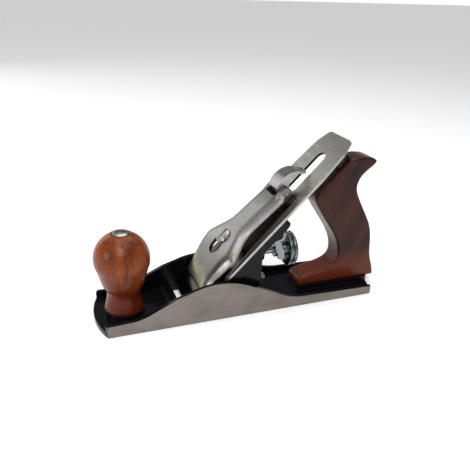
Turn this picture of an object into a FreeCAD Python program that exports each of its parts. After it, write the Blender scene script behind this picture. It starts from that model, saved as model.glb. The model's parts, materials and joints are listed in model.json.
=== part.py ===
import FreeCAD, Part
import math
import os
import re
import Sketcher

# A metal-bodied smoothing plane with a two-piece iron, a lever cap, a screw-driven depth
# adjuster and a lateral lever.  Row frame, millimetres: the sole lies on Z = 0, X runs along
# the plane with the toe at -X and the heel at +X, Y = 0 is the middle of the sole.
#
# Everything clamped to the 45 degree bed is drawn in the bed frame instead: local x climbs
# the bed from the sole, local y is the row's Y, and local z stands square off the bed.

Vector = FreeCAD.Vector
doc = FreeCAD.newDocument("HandPlane")
sizes = doc.addObject("Spreadsheet::Sheet", "Sizes")

DRIVING_SIZES = {
    # sole casting
    "sole_width": 61, "sole_thickness": 4, "toe_corner": -115.7, "toe_bulge": 6.8,
    "heel_corner": 121.7, "heel_bulge": 6.2, "cheek_thickness": 3.4,
    "toe_wall": 9.2, "heel_wall": 7.6, "cheek_peak": 35, "cheek_peak_x": -11.5,
    "rib_x": -60.6, "rib_thickness": 2.6, "rib_top": 8,
    "mouth_front": -50.8, "mouth_back": -44.6, "mouth_width": 53.2,
    "seat_front": -39, "seat_back": 19, "seat_width": 42, "seat_top": 7,
    "knob_boss_radius": 17, "boss_top": 8,
    "handle_boss_front": 57, "handle_boss_back": 130, "handle_boss_width": 26,
    # front knob
    "knob_x": -97.3, "ball_radius": 22.7, "ball_height": 53.2, "neck_radius": 12.9,
    "neck_height": 21, "knob_foot_radius": 15, "knob_top": 74.6,
    "stud_radius": 2.9, "thread_gap": 0.08, "nut_head_radius": 6.65, "nut_barrel_radius": 4.4,
    # bed and iron
    "bed_angle": 45, "bed_x": -47.19, "iron_width": 50.8, "iron_thickness": 2.2,
    "iron_edge": 3.8, "iron_top": 197.8, "iron_taper": 158, "iron_crown_width": 34,
    "iron_slot_width": 12, "iron_slot_low": 56, "iron_slot_top": 178,
    "breaker_edge": 5.4, "breaker_top": 134, "breaker_sheet": 2, "breaker_hump": 8.1,
    "breaker_screw": 128,
    # frog
    "frog_width": 48, "frog_toe": 8.6, "bed_gap": 0.05, "frog_top": 115.5, "frog_plate": 8,
    "frog_back": 16.5, "frog_tongue": 126.5, "channel_width": 19, "channel_depth": 4.9,
    "frog_screw_x": -6, "frog_screw_y": 13, "adjuster_height": 16.6,
    "lug_front": 4, "lug_width": 7.6, "plate_screw_x": 12.6, "plate_screw_y": 6.6,
    "plate_width": 18,
    # depth adjuster
    "wheel_height": 42.3, "wheel_front": 35.5, "wheel_radius": 15.2, "hub_radius": 6.5,
    "groove_centre": 39.4, "groove_width": 3.6, "rod_radius": 3, "rod_length": 44,
    "yoke_x": 33, "yoke_height": 62.8, "yoke_swing": 24.3, "yoke_pin_radius": 1.6,
    "finger_tip": 3.7, "pad_radius": 1.45,
    # lateral lever
    "lateral_pivot": 122.5, "roller_at": 112.6, "roller_radius": 5.6,
    "lateral_sheet": 1.6, "lateral_level": -4.8, "lateral_bend": 139, "thumb_at": 184.5, "thumb_level": -10.6,
    # lever cap and cam
    "cap_low": 23, "cap_lip_width": 46.6, "cap_wide_at": 59.5, "cap_wide": 64,
    "cap_neck_at": 80.5, "cap_neck": 35.2, "cap_top": 127.5, "cap_crest": 17.8,
    "cap_screw": 68.6, "keyhole_at": 59.1, "keyhole_radius": 8.3, "keyhole_slot": 8.2,
    "cam_at": 130.6, "cam_height": 9.4, "cam_hub_radius": 4.2, "cam_pin_radius": 1.6,
    "cam_width": 16.2, "lug_radius": 4.9, "fit_gap": 0.06,
    # rear handle
    "handle_width": 22, "handle_foot": 8, "handle_rounding": 4.8,
    "handle_rod_low_x": 122, "handle_rod_low_z": 3, "handle_rod_lean": 12.85,
}
for row, (alias, number) in enumerate(DRIVING_SIZES.items(), 1):
    sizes.set("A%d" % row, alias)
    sizes.set("B%d" % row, str(number))
    sizes.setAlias("B%d" % row, alias)
doc.recompute()

PLANES = {"floor": "XY_Plane", "side": "XZ_Plane", "end": "YZ_Plane"}
PARTS = []


def value(expression):
    """The number that an expression of sheet aliases stands for."""
    return float(sizes.evalExpression(str(expression)))


def bound(expression):
    """The same expression as other objects must write it, with the sheet's name."""
    def owner(match):
        word = match.group(0)
        return "Sizes." + word if word in DRIVING_SIZES else word
    return re.sub(r"[a-z_]+", owner, str(expression))


def bind(thing, prop, expression):
    thing.setExpression(prop, bound(expression))


def piece(name):
    """A new body, which becomes one node."""
    body = doc.addObject("PartDesign::Body", name)
    body.Label = name
    PARTS.append(body)
    return body


def on_bed(body, along="0", off="0"):
    """Lay a body on the bed, `along` up it from the sole and `off` square to it."""
    body.Placement = FreeCAD.Placement(Vector(), FreeCAD.Rotation(Vector(0, -1, 0), 45))
    bind(body, "Placement.Rotation.Angle", "bed_angle")
    bind(body, "Placement.Base.x",
         f"bed_x + ({along}) * cos(bed_angle) - ({off}) * sin(bed_angle)")
    bind(body, "Placement.Base.z", f"({along}) * sin(bed_angle) + ({off}) * cos(bed_angle)")


def stand_at(body, x="0", y="0", z="0", turn=None):
    """Put a body at a row position; `turn` is an axis and an angle expression."""
    if turn:
        axis, angle = turn
        body.Placement = FreeCAD.Placement(Vector(), FreeCAD.Rotation(Vector(*axis), value(angle)))
        bind(body, "Placement.Rotation.Angle", angle)
    for letter, expression in zip("xyz", (x, y, z)):
        bind(body, "Placement.Base." + letter, expression)


def sketch_on(body, plane, lift="0", bed=False):
    """An empty sketch on one of the body's planes, lifted off it, or on the tilted bed."""
    role = PLANES[plane]
    base = [f for f in body.Origin.OriginFeatures if f.Role == role][0]
    drawing = body.newObject("Sketcher::SketchObject", body.Name + "_" + plane)
    drawing.AttachmentSupport = [(base, "")]
    drawing.MapMode = "FlatFace"
    if bed:
        tilt = FreeCAD.Rotation(Vector(0, -1, 0), 45)
        drawing.AttachmentOffset = FreeCAD.Placement(Vector(), tilt)
        bind(drawing, "AttachmentOffset.Rotation.Angle", "bed_angle")
        bind(drawing, "AttachmentOffset.Base.x", f"bed_x - ({lift}) * sin(bed_angle)")
        bind(drawing, "AttachmentOffset.Base.z", f"({lift}) * cos(bed_angle)")
    else:
        bind(drawing, "AttachmentOffset.Base.z", lift)
    return drawing


def fix_point(drawing, geometry, end, x, y):
    """Dimension a point from the sketch's origin by two expressions."""
    for kind, axis, expression in (("DistanceX", -2, x), ("DistanceY", -1, y)):
        number = value(expression)
        if abs(number) < 1e-9:
            drawing.addConstraint(Sketcher.Constraint("PointOnObject", geometry, end, axis))
            continue
        index = drawing.addConstraint(
            Sketcher.Constraint(kind, -1, 1, geometry, end, number))
        bind(drawing, "Constraints[%d]" % index, expression)


def corner_arc(before, corner, after, radius):
    """Where a rounded corner's arc starts, passes and ends."""
    back = (before - corner).normalize()
    ahead = (after - corner).normalize()
    half = back.getAngle(ahead) / 2
    reach = radius / math.tan(half)
    start, end = corner + back * reach, corner + ahead * reach
    inward = (back + ahead).normalize()
    middle = corner + inward * (radius / math.sin(half) - radius)
    return start, middle, end


def outline(drawing, corners):
    """A closed outline of straight runs.  A corner is (x, y) or (x, y, radius)."""
    points = [Vector(value(c[0]), value(c[1]), 0) for c in corners]
    count = len(points)
    arcs = {}
    for i, corner in enumerate(corners):
        if len(corner) == 3:
            arcs[i] = corner_arc(points[i - 1], points[i], points[(i + 1) % count],
                                 value(corner[2]))
    runs = []
    for i in range(count):
        after = (i + 1) % count
        start = arcs[i][2] if i in arcs else points[i]
        end = arcs[after][0] if after in arcs else points[after]
        runs.append(drawing.addGeometry(Part.LineSegment(start, end)))
    for i, line in enumerate(runs):
        made = drawing.Geometry[line]
        wanted = points[(i + 1) % count] - points[i]
        if (made.EndPoint - made.StartPoint).dot(wanted) <= 0:
            raise RuntimeError("%s: rounding too large at side %d" % (drawing.Name, i))
    for i, corner in enumerate(corners):
        before, after = runs[i - 1], runs[i]
        if i not in arcs:
            drawing.addConstraint(Sketcher.Constraint("Coincident", before, 2, after, 1))
            fix_point(drawing, after, 1, corner[0], corner[1])
            continue
        start, middle, end = arcs[i]
        arc = drawing.addGeometry(Part.Arc(start, middle, end))
        turned_left = (middle - start).cross(end - middle).z > 0
        first, last = (1, 2) if turned_left else (2, 1)
        drawing.addConstraint(Sketcher.Constraint("Tangent", before, 2, arc, first))
        drawing.addConstraint(Sketcher.Constraint("Tangent", arc, last, after, 1))
        index = drawing.addConstraint(Sketcher.Constraint("Radius", arc, value(corner[2])))
        bind(drawing, "Constraints[%d]" % index, corner[2])
        tip = drawing.addGeometry(Part.Point(points[i]), True)
        drawing.addConstraint(Sketcher.Constraint("PointOnObject", tip, 1, before))
        drawing.addConstraint(Sketcher.Constraint("PointOnObject", tip, 1, after))
        fix_point(drawing, tip, 1, corner[0], corner[1])
    return drawing


def mirrored_outline(drawing, corners):
    """An outline given on its +y side only, closed by its mirror image."""
    other = [(c[0], f"-({c[1]})") + tuple(c[2:]) for c in reversed(corners)]
    return outline(drawing, list(corners) + other)


def ring(drawing, x, y, radius):
    circle = drawing.addGeometry(
        Part.Circle(Vector(value(x), value(y), 0), Vector(0, 0, 1), value(radius)))
    fix_point(drawing, circle, 3, x, y)
    index = drawing.addConstraint(Sketcher.Constraint("Radius", circle, value(radius)))
    bind(drawing, "Constraints[%d]" % index, radius)
    return drawing


def pad(body, drawing, length, both_ways=False, down=False):
    feature = body.newObject("PartDesign::Pad", body.Name + "_pad")
    feature.Profile = drawing
    if both_ways:
        feature.SideType = "Symmetric"
    feature.Reversed = down
    bind(feature, "Length", length)
    doc.recompute()
    return feature


def pocket(body, drawing, depth, both_ways=False, upward=False):
    """Cut a sketch into the body, and make sure that it cut something."""
    before = body.Shape.Volume
    feature = body.newObject("PartDesign::Pocket", body.Name + "_pocket")
    feature.Profile = drawing
    if both_ways:
        feature.SideType = "Symmetric"
    feature.Reversed = upward
    bind(feature, "Length", depth)
    doc.recompute()
    if body.Shape.Volume > before - 1e-3:
        raise RuntimeError(feature.Name + " cuts nothing")
    return feature


def turned(name, profile, angle="360"):
    """A body turned about its own Z axis from a (radius, height) outline."""
    body = piece(name)
    drawing = outline(sketch_on(body, "side"), profile)
    feature = body.newObject("PartDesign::Revolution", name + "_turning")
    feature.Profile = drawing
    feature.ReferenceAxis = (drawing, ["V_Axis"])
    bind(feature, "Angle", angle)
    doc.recompute()
    return body


def screw_slot(body, top, width="1.3", depth="1.4"):
    """A driver slot across the head of a screw that is turned about Z."""
    drawing = outline(sketch_on(body, "end"), [
        (f"-({width}) / 2", f"{top} - {depth}"), (f"({width}) / 2", f"{top} - {depth}"),
        (f"({width}) / 2", f"{top} + 1"), (f"-({width}) / 2", f"{top} + 1")])
    pocket(body, drawing, "40", both_ways=True)


def box_outline(drawing, x_low, x_high, half_width):
    return mirrored_outline(drawing, [(x_low, half_width), (x_high, half_width)])


# ---- sole casting ---------------------------------------------------------------------

def sole_casting():
    """Flat sole with two cheeks, open ends, bosses, a rib, the mouth and the frog's seat."""
    body = piece("sole_casting")
    plan = sketch_on(body, "floor")
    half = value("sole_width / 2")
    toe, heel = value("toe_corner"), value("heel_corner")
    ends = []
    for corner, tip, side in ((toe, toe - value("toe_bulge"), 1),
                              (heel, heel + value("heel_bulge"), -1)):
        arc = Part.Arc(Vector(corner, half * side, 0), Vector(tip, 0, 0),
                       Vector(corner, -half * side, 0))
        ends.append(plan.addGeometry(arc))
    sides = [plan.addGeometry(Part.LineSegment(Vector(toe, -half, 0), Vector(heel, -half, 0))),
             plan.addGeometry(Part.LineSegment(Vector(heel, half, 0), Vector(toe, half, 0)))]
    join = Sketcher.Constraint
    for first, last in ((ends[0], sides[0]), (sides[0], ends[1]),
                        (ends[1], sides[1]), (sides[1], ends[0])):
        plan.addConstraint(join("Coincident", first, 2, last, 1))
    for line, x, y in ((sides[0], "toe_corner", "-sole_width / 2"),
                       (sides[1], "heel_corner", "sole_width / 2")):
        fix_point(plan, line, 1, x, y)
    for line, x, y in ((sides[0], "heel_corner", "-sole_width / 2"),
                       (sides[1], "toe_corner", "sole_width / 2")):
        fix_point(plan, line, 2, x, y)
    for arc, bulge in zip(ends, ("toe_bulge", "heel_bulge")):
        reach = f"({bulge} ^ 2 + (sole_width / 2) ^ 2) / (2 * {bulge})"
        index = plan.addConstraint(join("Radius", arc, value(reach)))
        bind(plan, "Constraints[%d]" % index, reach)
    pad(body, plan, "cheek_peak")

    # everything above the cheeks' wave: low walls, a long rise to the peak, a shorter fall
    above = outline(sketch_on(body, "side"), [
        ("toe_corner - 20", "toe_wall - 0.6"), ("-89", "toe_wall + 1.9", "40"),
        ("-11.5 - (cheek_peak - 7) / 0.42 + 19", "cheek_peak - 5.5 - 4.2", "1"),
        ("cheek_peak_x - 9", "cheek_peak + 2.8", "62"),
        ("cheek_peak_x + 54", "toe_wall - 0.2", "55"), ("heel_corner + 20", "heel_wall - 0.6"),
        ("heel_corner + 20", "cheek_peak + 20"), ("toe_corner - 20", "cheek_peak + 20")])
    pocket(body, above, "sole_width + 2", both_ways=True)

    hollow = box_outline(sketch_on(body, "floor", "sole_thickness"), "toe_corner - 20",
                         "heel_corner + 20", "sole_width / 2 - cheek_thickness")
    pocket(body, hollow, "cheek_peak", upward=True)

    rib = box_outline(sketch_on(body, "floor"), "rib_x - rib_thickness / 2",
                      "rib_x + rib_thickness / 2", "sole_width / 2 - cheek_thickness / 2")
    pad(body, rib, "rib_top")
    pad(body, box_outline(sketch_on(body, "floor"), "seat_front", "seat_back",
                          "seat_width / 2"), "seat_top")
    pad(body, ring(sketch_on(body, "floor"), "knob_x", "0", "knob_boss_radius"), "boss_top")
    pad(body, mirrored_outline(sketch_on(body, "floor", "1"), [
        ("handle_boss_front", "handle_boss_width / 2", "3"),
        ("handle_boss_back", "handle_boss_width / 2", "5")]), "boss_top - 1")

    lug = box_outline(sketch_on(body, "floor", "1"), "lug_front", "lug_front + 5.5",
                      "lug_width / 2")
    pad(body, lug, "adjuster_height + 3.4")
    lug_bore = ring(sketch_on(body, "end", "lug_front - 1"), "0", "adjuster_height",
                    "2.2 + thread_gap")
    pocket(body, lug_bore, "8", upward=True)

    mouth = outline(sketch_on(body, "side"), [
        ("mouth_front", "-1"), ("mouth_back", "-1"), ("mouth_back", "1.2"),
        ("mouth_back + 6", "7.2"), ("mouth_front", "7.2")])
    pocket(body, mouth, "mouth_width", both_ways=True)

    for x, y, radius in (("knob_x", "0", "stud_radius"),
                         ("frog_screw_x", "frog_screw_y", "stud_radius - 0.4"),
                         ("frog_screw_x", "-frog_screw_y", "stud_radius - 0.4")):
        hole = ring(sketch_on(body, "floor", "2"), x, y, radius + " + thread_gap")
        pocket(body, hole, "20", upward=True)
    return body


# ---- front knob -----------------------------------------------------------------------

def knob():
    """Turned knob: a ball on a waisted neck that spreads to a foot, bored for its stud."""
    body = piece("front_knob")
    drawing = sketch_on(body, "side")
    ball, middle = value("ball_radius"), value("ball_height")
    top = value("knob_top")
    foot, base = value("knob_foot_radius"), value("boss_top")
    neck, neck_height = value("neck_radius"), value("neck_height")
    top_radius = math.sqrt(ball ** 2 - (top - middle) ** 2)
    join_height = middle - ball * math.cos(math.radians(39))
    join_radius = ball * math.sin(math.radians(39))
    edges = [
        Part.LineSegment(Vector(0, base, 0), Vector(foot, base, 0)),
        Part.LineSegment(Vector(foot, base, 0), Vector(foot, base + 3, 0)),
        Part.Arc(Vector(foot, base + 3, 0), Vector(neck, neck_height, 0),
                 Vector(join_radius, join_height, 0)),
        Part.Arc(Vector(join_radius, join_height, 0), Vector(ball, middle, 0),
                 Vector(top_radius, top, 0)),
        Part.LineSegment(Vector(top_radius, top, 0), Vector(0, top, 0)),
        Part.LineSegment(Vector(0, top, 0), Vector(0, base, 0))]
    for edge in edges:
        index = drawing.addGeometry(edge)
        drawing.addConstraint(Sketcher.Constraint("Block", index))
    feature = body.newObject("PartDesign::Revolution", "knob_turning")
    feature.Profile = drawing
    feature.ReferenceAxis = (drawing, ["V_Axis"])
    doc.recompute()
    for radius, start in (("stud_radius + 0.3", "boss_top - 1"),
                          ("nut_barrel_radius + 0.2", "knob_top - 14"),
                          ("nut_head_radius + 0.3", "knob_top - 1.4")):
        pocket(body, ring(sketch_on(body, "floor", start), "0", "0", radius),
               "80", upward=True)
    stand_at(body, x="knob_x")
    return body


def stud(name, length):
    """Plain rod of a through stud, its lower end at its own origin."""
    return turned(name, [("0", "0"), ("stud_radius", "0"), ("stud_radius", length),
                         ("0", length)])


def barrel_nut(name, barrel):
    """Domed slotted nut whose barrel reaches down over the stud's end."""
    wall = "nut_barrel_radius"
    body = turned(name, [
        ("stud_radius + thread_gap", f"-({barrel})"), (wall, f"-({barrel})"), (wall, "0"),
        ("nut_head_radius", "0"), ("nut_head_radius", "1.6"), ("nut_head_radius - 2", "2.6"),
        ("0", "3"), ("0", "-1"), ("stud_radius + thread_gap", "-1")])
    screw_slot(body, "3", "1.4", "1.6")
    return body


# ---- frog -----------------------------------------------------------------------------

def frog():
    """Sloped seat for the iron on two ribs, with the adjusters' slots, boss and ears."""
    body = piece("frog")
    pad(body, outline(sketch_on(body, "side"), [
        ("seat_front + 3", "seat_top"), ("frog_back - 2", "seat_top"),
        ("frog_back - 2", "seat_top + 5"), ("frog_back", "48", "6"), ("20.5", "58"),
        ("seat_front + 10.4", "seat_top + 0.1")]), "seat_width", both_ways=True)
    # between the ribs the casting is hollow, down to its foot and up to the sloped plate
    pocket(body, outline(sketch_on(body, "side"), [
        ("-17", "seat_top + 5"), ("frog_back + 3", "seat_top + 5"), ("frog_back + 3", "61"),
        ("26", "65"), ("-17", "seat_top + 14")]), "seat_width - 13", both_ways=True)
    pad(body, mirrored_outline(sketch_on(body, "floor", "-bed_gap", bed=True), [
        ("frog_toe", "frog_width / 2 - 3"), ("frog_toe + 30", "frog_width / 2", "20"),
        ("frog_top", "frog_width / 2", "5"), ("frog_top", "channel_width / 2 + 2", "2"),
        ("frog_tongue + 1.5", "channel_width / 2 - 1", "5")]), "frog_plate", down=True)
    below_seat = outline(sketch_on(body, "side"), [
        ("seat_front - 20", "-5"), ("seat_back", "-5"), ("seat_back", "seat_top"),
        ("seat_front - 20", "seat_top")])
    pocket(body, below_seat, "frog_width + 2", both_ways=True)
    channel = mirrored_outline(sketch_on(body, "floor", "-channel_depth", bed=True), [
        ("90", "channel_width / 2 - 4", "3"), ("104", "channel_width / 2 - 2.5"),
        ("frog_tongue + 10", "channel_width / 2 - 2.5")])
    pocket(body, channel, "20", upward=True)

    boss = ring(sketch_on(body, "end", "frog_back + 7.5"), "0", "wheel_height", "8")
    pad(body, boss, "20.5", down=True)
    bore = ring(sketch_on(body, "end", "frog_back + 9"), "0", "wheel_height",
                "rod_radius + fit_gap")
    pocket(body, bore, "17")

    # ears that carry the yoke's pin, open between them for the yoke itself
    ears = outline(sketch_on(body, "side"), [
        ("yoke_x - 2", "yoke_height - 5.5", "3"), ("yoke_x + 4.6", "yoke_height - 4", "3.5"),
        ("yoke_x + 4.6", "yoke_height + 12.5"), ("yoke_x - 12.5", "yoke_height - 4")])
    pad(body, ears, "29", both_ways=True)
    gap = outline(sketch_on(body, "side"), [
        ("yoke_x - 20", "yoke_height - 12"), ("yoke_x + 12", "yoke_height - 12"),
        ("yoke_x + 12", "yoke_height + 9.4"), ("yoke_x + 3.5", "yoke_height + 9.4"),
        ("yoke_x - 9", "yoke_height - 3.1")])
    pocket(body, gap, "21", both_ways=True)
    pin_hole = ring(sketch_on(body, "side"), "yoke_x", "yoke_height",
                    "yoke_pin_radius + fit_gap")
    pocket(body, pin_hole, "40", both_ways=True)
    finger_way = box_outline(sketch_on(body, "floor", "-20", bed=True), "94", "107.4", "3.4")
    pocket(body, finger_way, "30", upward=True)

    for along, radius, start in (("cap_screw", "stud_radius + thread_gap", "-7"),
                                 ("lateral_pivot", "1.6 + thread_gap", "-12")):
        pocket(body, ring(sketch_on(body, "floor", start, bed=True), along, "0", radius),
               "20", upward=True)
    for side in ("", "-"):
        for radius, start in (("stud_radius - 0.4 + fit_gap", "seat_top - 1"),
                              ("5.2", "seat_top + 5")):
            hole = ring(sketch_on(body, "floor", start), "frog_screw_x",
                        side + "frog_screw_y", radius)
            pocket(body, hole, "60", upward=True)
    lug_way = box_outline(sketch_on(body, "floor", "seat_top - 1"), "lug_front - 5",
                          "frog_back + 4", "lug_width / 2 + 0.4")
    pocket(body, lug_way, "7", upward=True)
    for side in ("", "-"):
        hole = ring(sketch_on(body, "floor", "seat_top - 1"), "plate_screw_x",
                    side + "plate_screw_y", "1.2 + thread_gap")
        pocket(body, hole, "7", upward=True)
    return body


def pair(name, build, x, y):
    """One node of two alike pieces, at +y and -y."""
    halves = []
    for side in ("", "-"):
        half = build(name + ("_far" if side == "" else "_near"))
        PARTS.remove(half)
        stand_at(half, x, side + y)
        halves.append(half)
    both = doc.addObject("Part::Compound", name)
    both.Label = name
    both.Links = halves
    PARTS.append(both)
    return both


def frog_screw(name):
    body = turned(name, [
        ("0", "2.4"), ("stud_radius - 0.4", "2.4"), ("stud_radius - 0.4", "seat_top + 6.3"),
        ("4.2", "seat_top + 6.3"), ("4.2", "seat_top + 8"), ("3", "seat_top + 9"),
        ("0", "seat_top + 9.3")])
    screw_slot(body, "seat_top + 9.3")
    return body


def frog_washer(name):
    return turned(name, [
        ("stud_radius - 0.4 + fit_gap", "seat_top + 5"), ("4.8", "seat_top + 5"),
        ("4.8", "seat_top + 6.2"), ("stud_radius - 0.4 + fit_gap", "seat_top + 6.2")])


def frog_adjuster():
    """Screw through the sole's lug that draws the frog along by a forked plate."""
    adjusting = turned("frog_adjusting_screw", [
        ("0", "0"), ("2.2", "0"), ("2.2", "17"), ("1.5", "17"), ("1.5", "18.6"),
        ("2.2", "18.6"), ("2.2", "21"), ("3.6", "21"), ("3.6", "22.6"), ("2.6", "23.4"),
        ("0", "23.6")])
    screw_slot(adjusting, "23.6", "1.1", "1.3")
    stand_at(adjusting, "frog_back - 12", "0", "adjuster_height", ((0, 1, 0), "90"))
    plate = piece("frog_adjusting_plate")
    pad(plate, outline(sketch_on(plate, "side"), [
        ("frog_back - 6", "seat_top + 5"), ("frog_back + 5.05", "seat_top + 5"),
        ("frog_back + 6.55", "seat_top + 5"), ("frog_back + 6.55", "adjuster_height + 4.5"),
        ("frog_back + 5.05", "adjuster_height + 4.5"), ("frog_back + 5.05", "seat_top + 6.2"),
        ("frog_back - 6", "seat_top + 6.2")]), "plate_width", both_ways=True)
    fork = outline(sketch_on(plate, "end", "frog_back + 4"), [
        ("-1.6", "seat_top + 2"), ("1.6", "seat_top + 2"), ("1.6", "adjuster_height + 1.6"),
        ("-1.6", "adjuster_height + 1.6")])
    pocket(plate, fork, "5", upward=True)
    for side in ("", "-"):
        hole = ring(sketch_on(plate, "floor", "seat_top + 4"), "plate_screw_x",
                    side + "plate_screw_y", "1.2 + fit_gap")
        pocket(plate, hole, "4", upward=True)


def plate_screw(name):
    body = turned(name, [
        ("0", "seat_top + 0.5"), ("1.2", "seat_top + 0.5"), ("1.2", "seat_top + 6.25"),
        ("2", "seat_top + 6.25"), ("1.6", "seat_top + 7.2"), ("0", "seat_top + 7.4")])
    screw_slot(body, "seat_top + 7.4", "0.5", "0.6")
    return body


# ---- iron: cutter, cap iron and their screw --------------------------------------------

def cutter():
    """Long slotted cutting iron with a ground bevel and a rounded, tapering top."""
    body = piece("cutter")
    plan = mirrored_outline(sketch_on(body, "floor"), [
        ("iron_edge", "iron_width / 2"), ("iron_taper", "iron_width / 2", "60"),
        ("iron_top - 13", "22.8", "10"), ("iron_top", "iron_crown_width / 2", "4.5")])
    pad(body, plan, "iron_thickness")
    slot = mirrored_outline(sketch_on(body, "floor"), [
        ("iron_slot_low", "iron_slot_width / 2", "iron_slot_width / 2 - 0.1"),
        ("iron_slot_top", "iron_slot_width / 2", "iron_slot_width / 2 - 0.1")])
    pocket(body, slot, "iron_thickness + 1", upward=True)
    bevel = outline(sketch_on(body, "side"), [
        ("iron_edge - 1", "-1"), ("iron_edge + 4.7", "-1"), ("iron_edge + 4.7", "0"),
        ("iron_edge + 0.05", "iron_thickness - 0.02"), ("iron_edge - 1", "iron_thickness")])
    pocket(body, bevel, "iron_width + 2", both_ways=True)
    on_bed(body)
    return body


def cap_iron():
    """Bent sheet that bears on the cutter near its edge, humps up, then lies flat on it."""
    body = piece("cap_iron")
    side = outline(sketch_on(body, "side"), [
        ("breaker_edge", "iron_thickness"), ("breaker_edge + 12.5", "breaker_hump - 2", "8"),
        ("breaker_edge + 24", "breaker_hump - 3", "10"), ("breaker_edge + 36", "iron_thickness", "12"),
        ("breaker_top", "iron_thickness"), ("breaker_top", "iron_thickness + breaker_sheet"),
        ("breaker_edge + 36", "iron_thickness + breaker_sheet", "10"),
        ("breaker_edge + 24.4", "breaker_hump - 0.9", "12"),
        ("breaker_edge + 11.6", "breaker_hump + 0.15", "10"),
        ("breaker_edge - 0.1", "iron_thickness + 0.5")])
    pad(body, side, "iron_width - 0.8", both_ways=True)
    # the sides draw in towards the top, and the corners there are rounded
    trim = outline(sketch_on(body, "floor", "-1"), [
        ("breaker_edge + 34", "iron_width / 2 + 1"), ("breaker_edge + 34", "iron_width / 2 - 0.4"),
        ("breaker_top", "20.2", "3"), ("breaker_top + 0.01", "0"), ("breaker_top + 5", "0"),
        ("breaker_top + 5", "iron_width / 2 + 1")])
    other = outline(sketch_on(body, "floor", "-1"), [
        ("breaker_edge + 34", "-iron_width / 2 - 1"), ("breaker_edge + 34", "0.4 - iron_width / 2"),
        ("breaker_top", "-20.2", "3"), ("breaker_top + 0.01", "0"), ("breaker_top + 5", "0"),
        ("breaker_top + 5", "-iron_width / 2 - 1")])
    for drawing in (trim, other):
        pocket(body, drawing, "20", upward=True)
    for low, high, half in (("47", "80", "5"), ("99.6", "108.5", "4.4")):
        window = box_outline(sketch_on(body, "floor"), low, high, half)
        pocket(body, window, "20", upward=True)
    hole = ring(sketch_on(body, "floor"), "breaker_screw", "0", "2.5 + thread_gap")
    pocket(body, hole, "20", upward=True)
    on_bed(body)
    return body


def cap_iron_screw():
    body = turned("cap_iron_screw", [
        ("0", "-2.7"), ("4.8", "-2.7"), ("5.5", "-2.1"), ("5.5", "-0.05"), ("2.5", "-0.05"),
        ("2.5", "iron_thickness + breaker_sheet - 0.1"),
        ("0", "iron_thickness + breaker_sheet - 0.1")])
    slot = box_outline(sketch_on(body, "floor", "-4"), "-8", "8", "0.6")
    pocket(body, slot, "2.2", upward=True)
    on_bed(body, "breaker_screw")
    return body


# ---- lever cap, cam lever and their fittings -------------------------------------------

def lever_cap():
    """Arched bell-shaped cap with a keyhole, two lugs for the cam's pin and a notch."""
    body = piece("lever_cap")
    side = outline(sketch_on(body, "side"), [
        ("cap_low", "breaker_hump + 0.5", "0.8"), ("cap_low + 5", "breaker_hump + 0.6", "6"),
        ("cap_low + 30", "cap_crest - 3.1", "60"), ("cap_screw + 5", "cap_crest - 3.1", "90"),
        ("cap_top", "cap_crest - 6.8"), ("cap_top", "cap_crest - 3.6", "1.2"),
        ("cap_screw + 5", "cap_crest + 0.5", "90"), ("cap_low + 30", "cap_crest + 0.4", "60"),
        ("cap_low", "breaker_hump + 2.3", "1")])
    pad(body, side, "cap_wide + 10", both_ways=True)
    keep = sketch_on(body, "floor")
    mirrored_outline(keep, [("-30", "60"), ("cap_top + 30", "60")])
    mirrored_outline(keep, [
        ("cap_low - 0.5", "cap_lip_width / 2", "5"), ("cap_wide_at", "cap_wide / 2", "9"),
        ("cap_neck_at", "cap_neck / 2", "16"), ("cap_top + 0.5", "cap_neck / 2", "7")])
    pocket(body, keep, "40", upward=True)
    # the lugs and the block that joins them to the underside
    lugs = outline(sketch_on(body, "side"), [
        ("cap_top - 13", "cap_crest - 5.5"), ("cam_at - 5.4", "cam_height - lug_radius", "3"),
        ("cam_at + lug_radius", "cam_height - lug_radius", "lug_radius - 0.4"),
        ("cam_at + lug_radius", "cam_height + lug_radius - 0.3", "lug_radius - 0.8"),
        ("cap_top - 5", "cap_crest - 4.4")])
    pad(body, lugs, "27.6", both_ways=True)
    between = box_outline(sketch_on(body, "floor"), "cam_at - 9.6", "cap_top + 20",
                          "cam_width / 2 + 0.5")
    pocket(body, between, "40", upward=True)
    under = outline(sketch_on(body, "side"), [
        ("cap_top - 20", "0"), ("cap_top + 20", "0"), ("cap_top + 20", "4"),
        ("cam_at - 9", "cap_crest - 7.3"), ("cap_top - 20", "cap_crest - 5.6")])
    pocket(body, under, "cam_width + 1", both_ways=True)
    pocket(body, ring(sketch_on(body, "side"), "cam_at", "cam_height",
                      "cam_pin_radius + fit_gap"), "40", both_ways=True)
    pocket(body, ring(sketch_on(body, "floor"), "keyhole_at", "0", "keyhole_radius"),
           "40", upward=True)
    neck = mirrored_outline(sketch_on(body, "floor"), [
        ("keyhole_at", "keyhole_slot / 2 + 1.5"),
        ("cap_screw + 4", "keyhole_slot / 2", "keyhole_slot / 2 - 0.1")])
    pocket(body, neck, "40", upward=True)
    rivet_hole = ring(sketch_on(body, "floor"), "cap_top - 17", "0", "1.6 + thread_gap")
    pocket(body, rivet_hole, "40", upward=True)
    on_bed(body)
    return body


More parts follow.
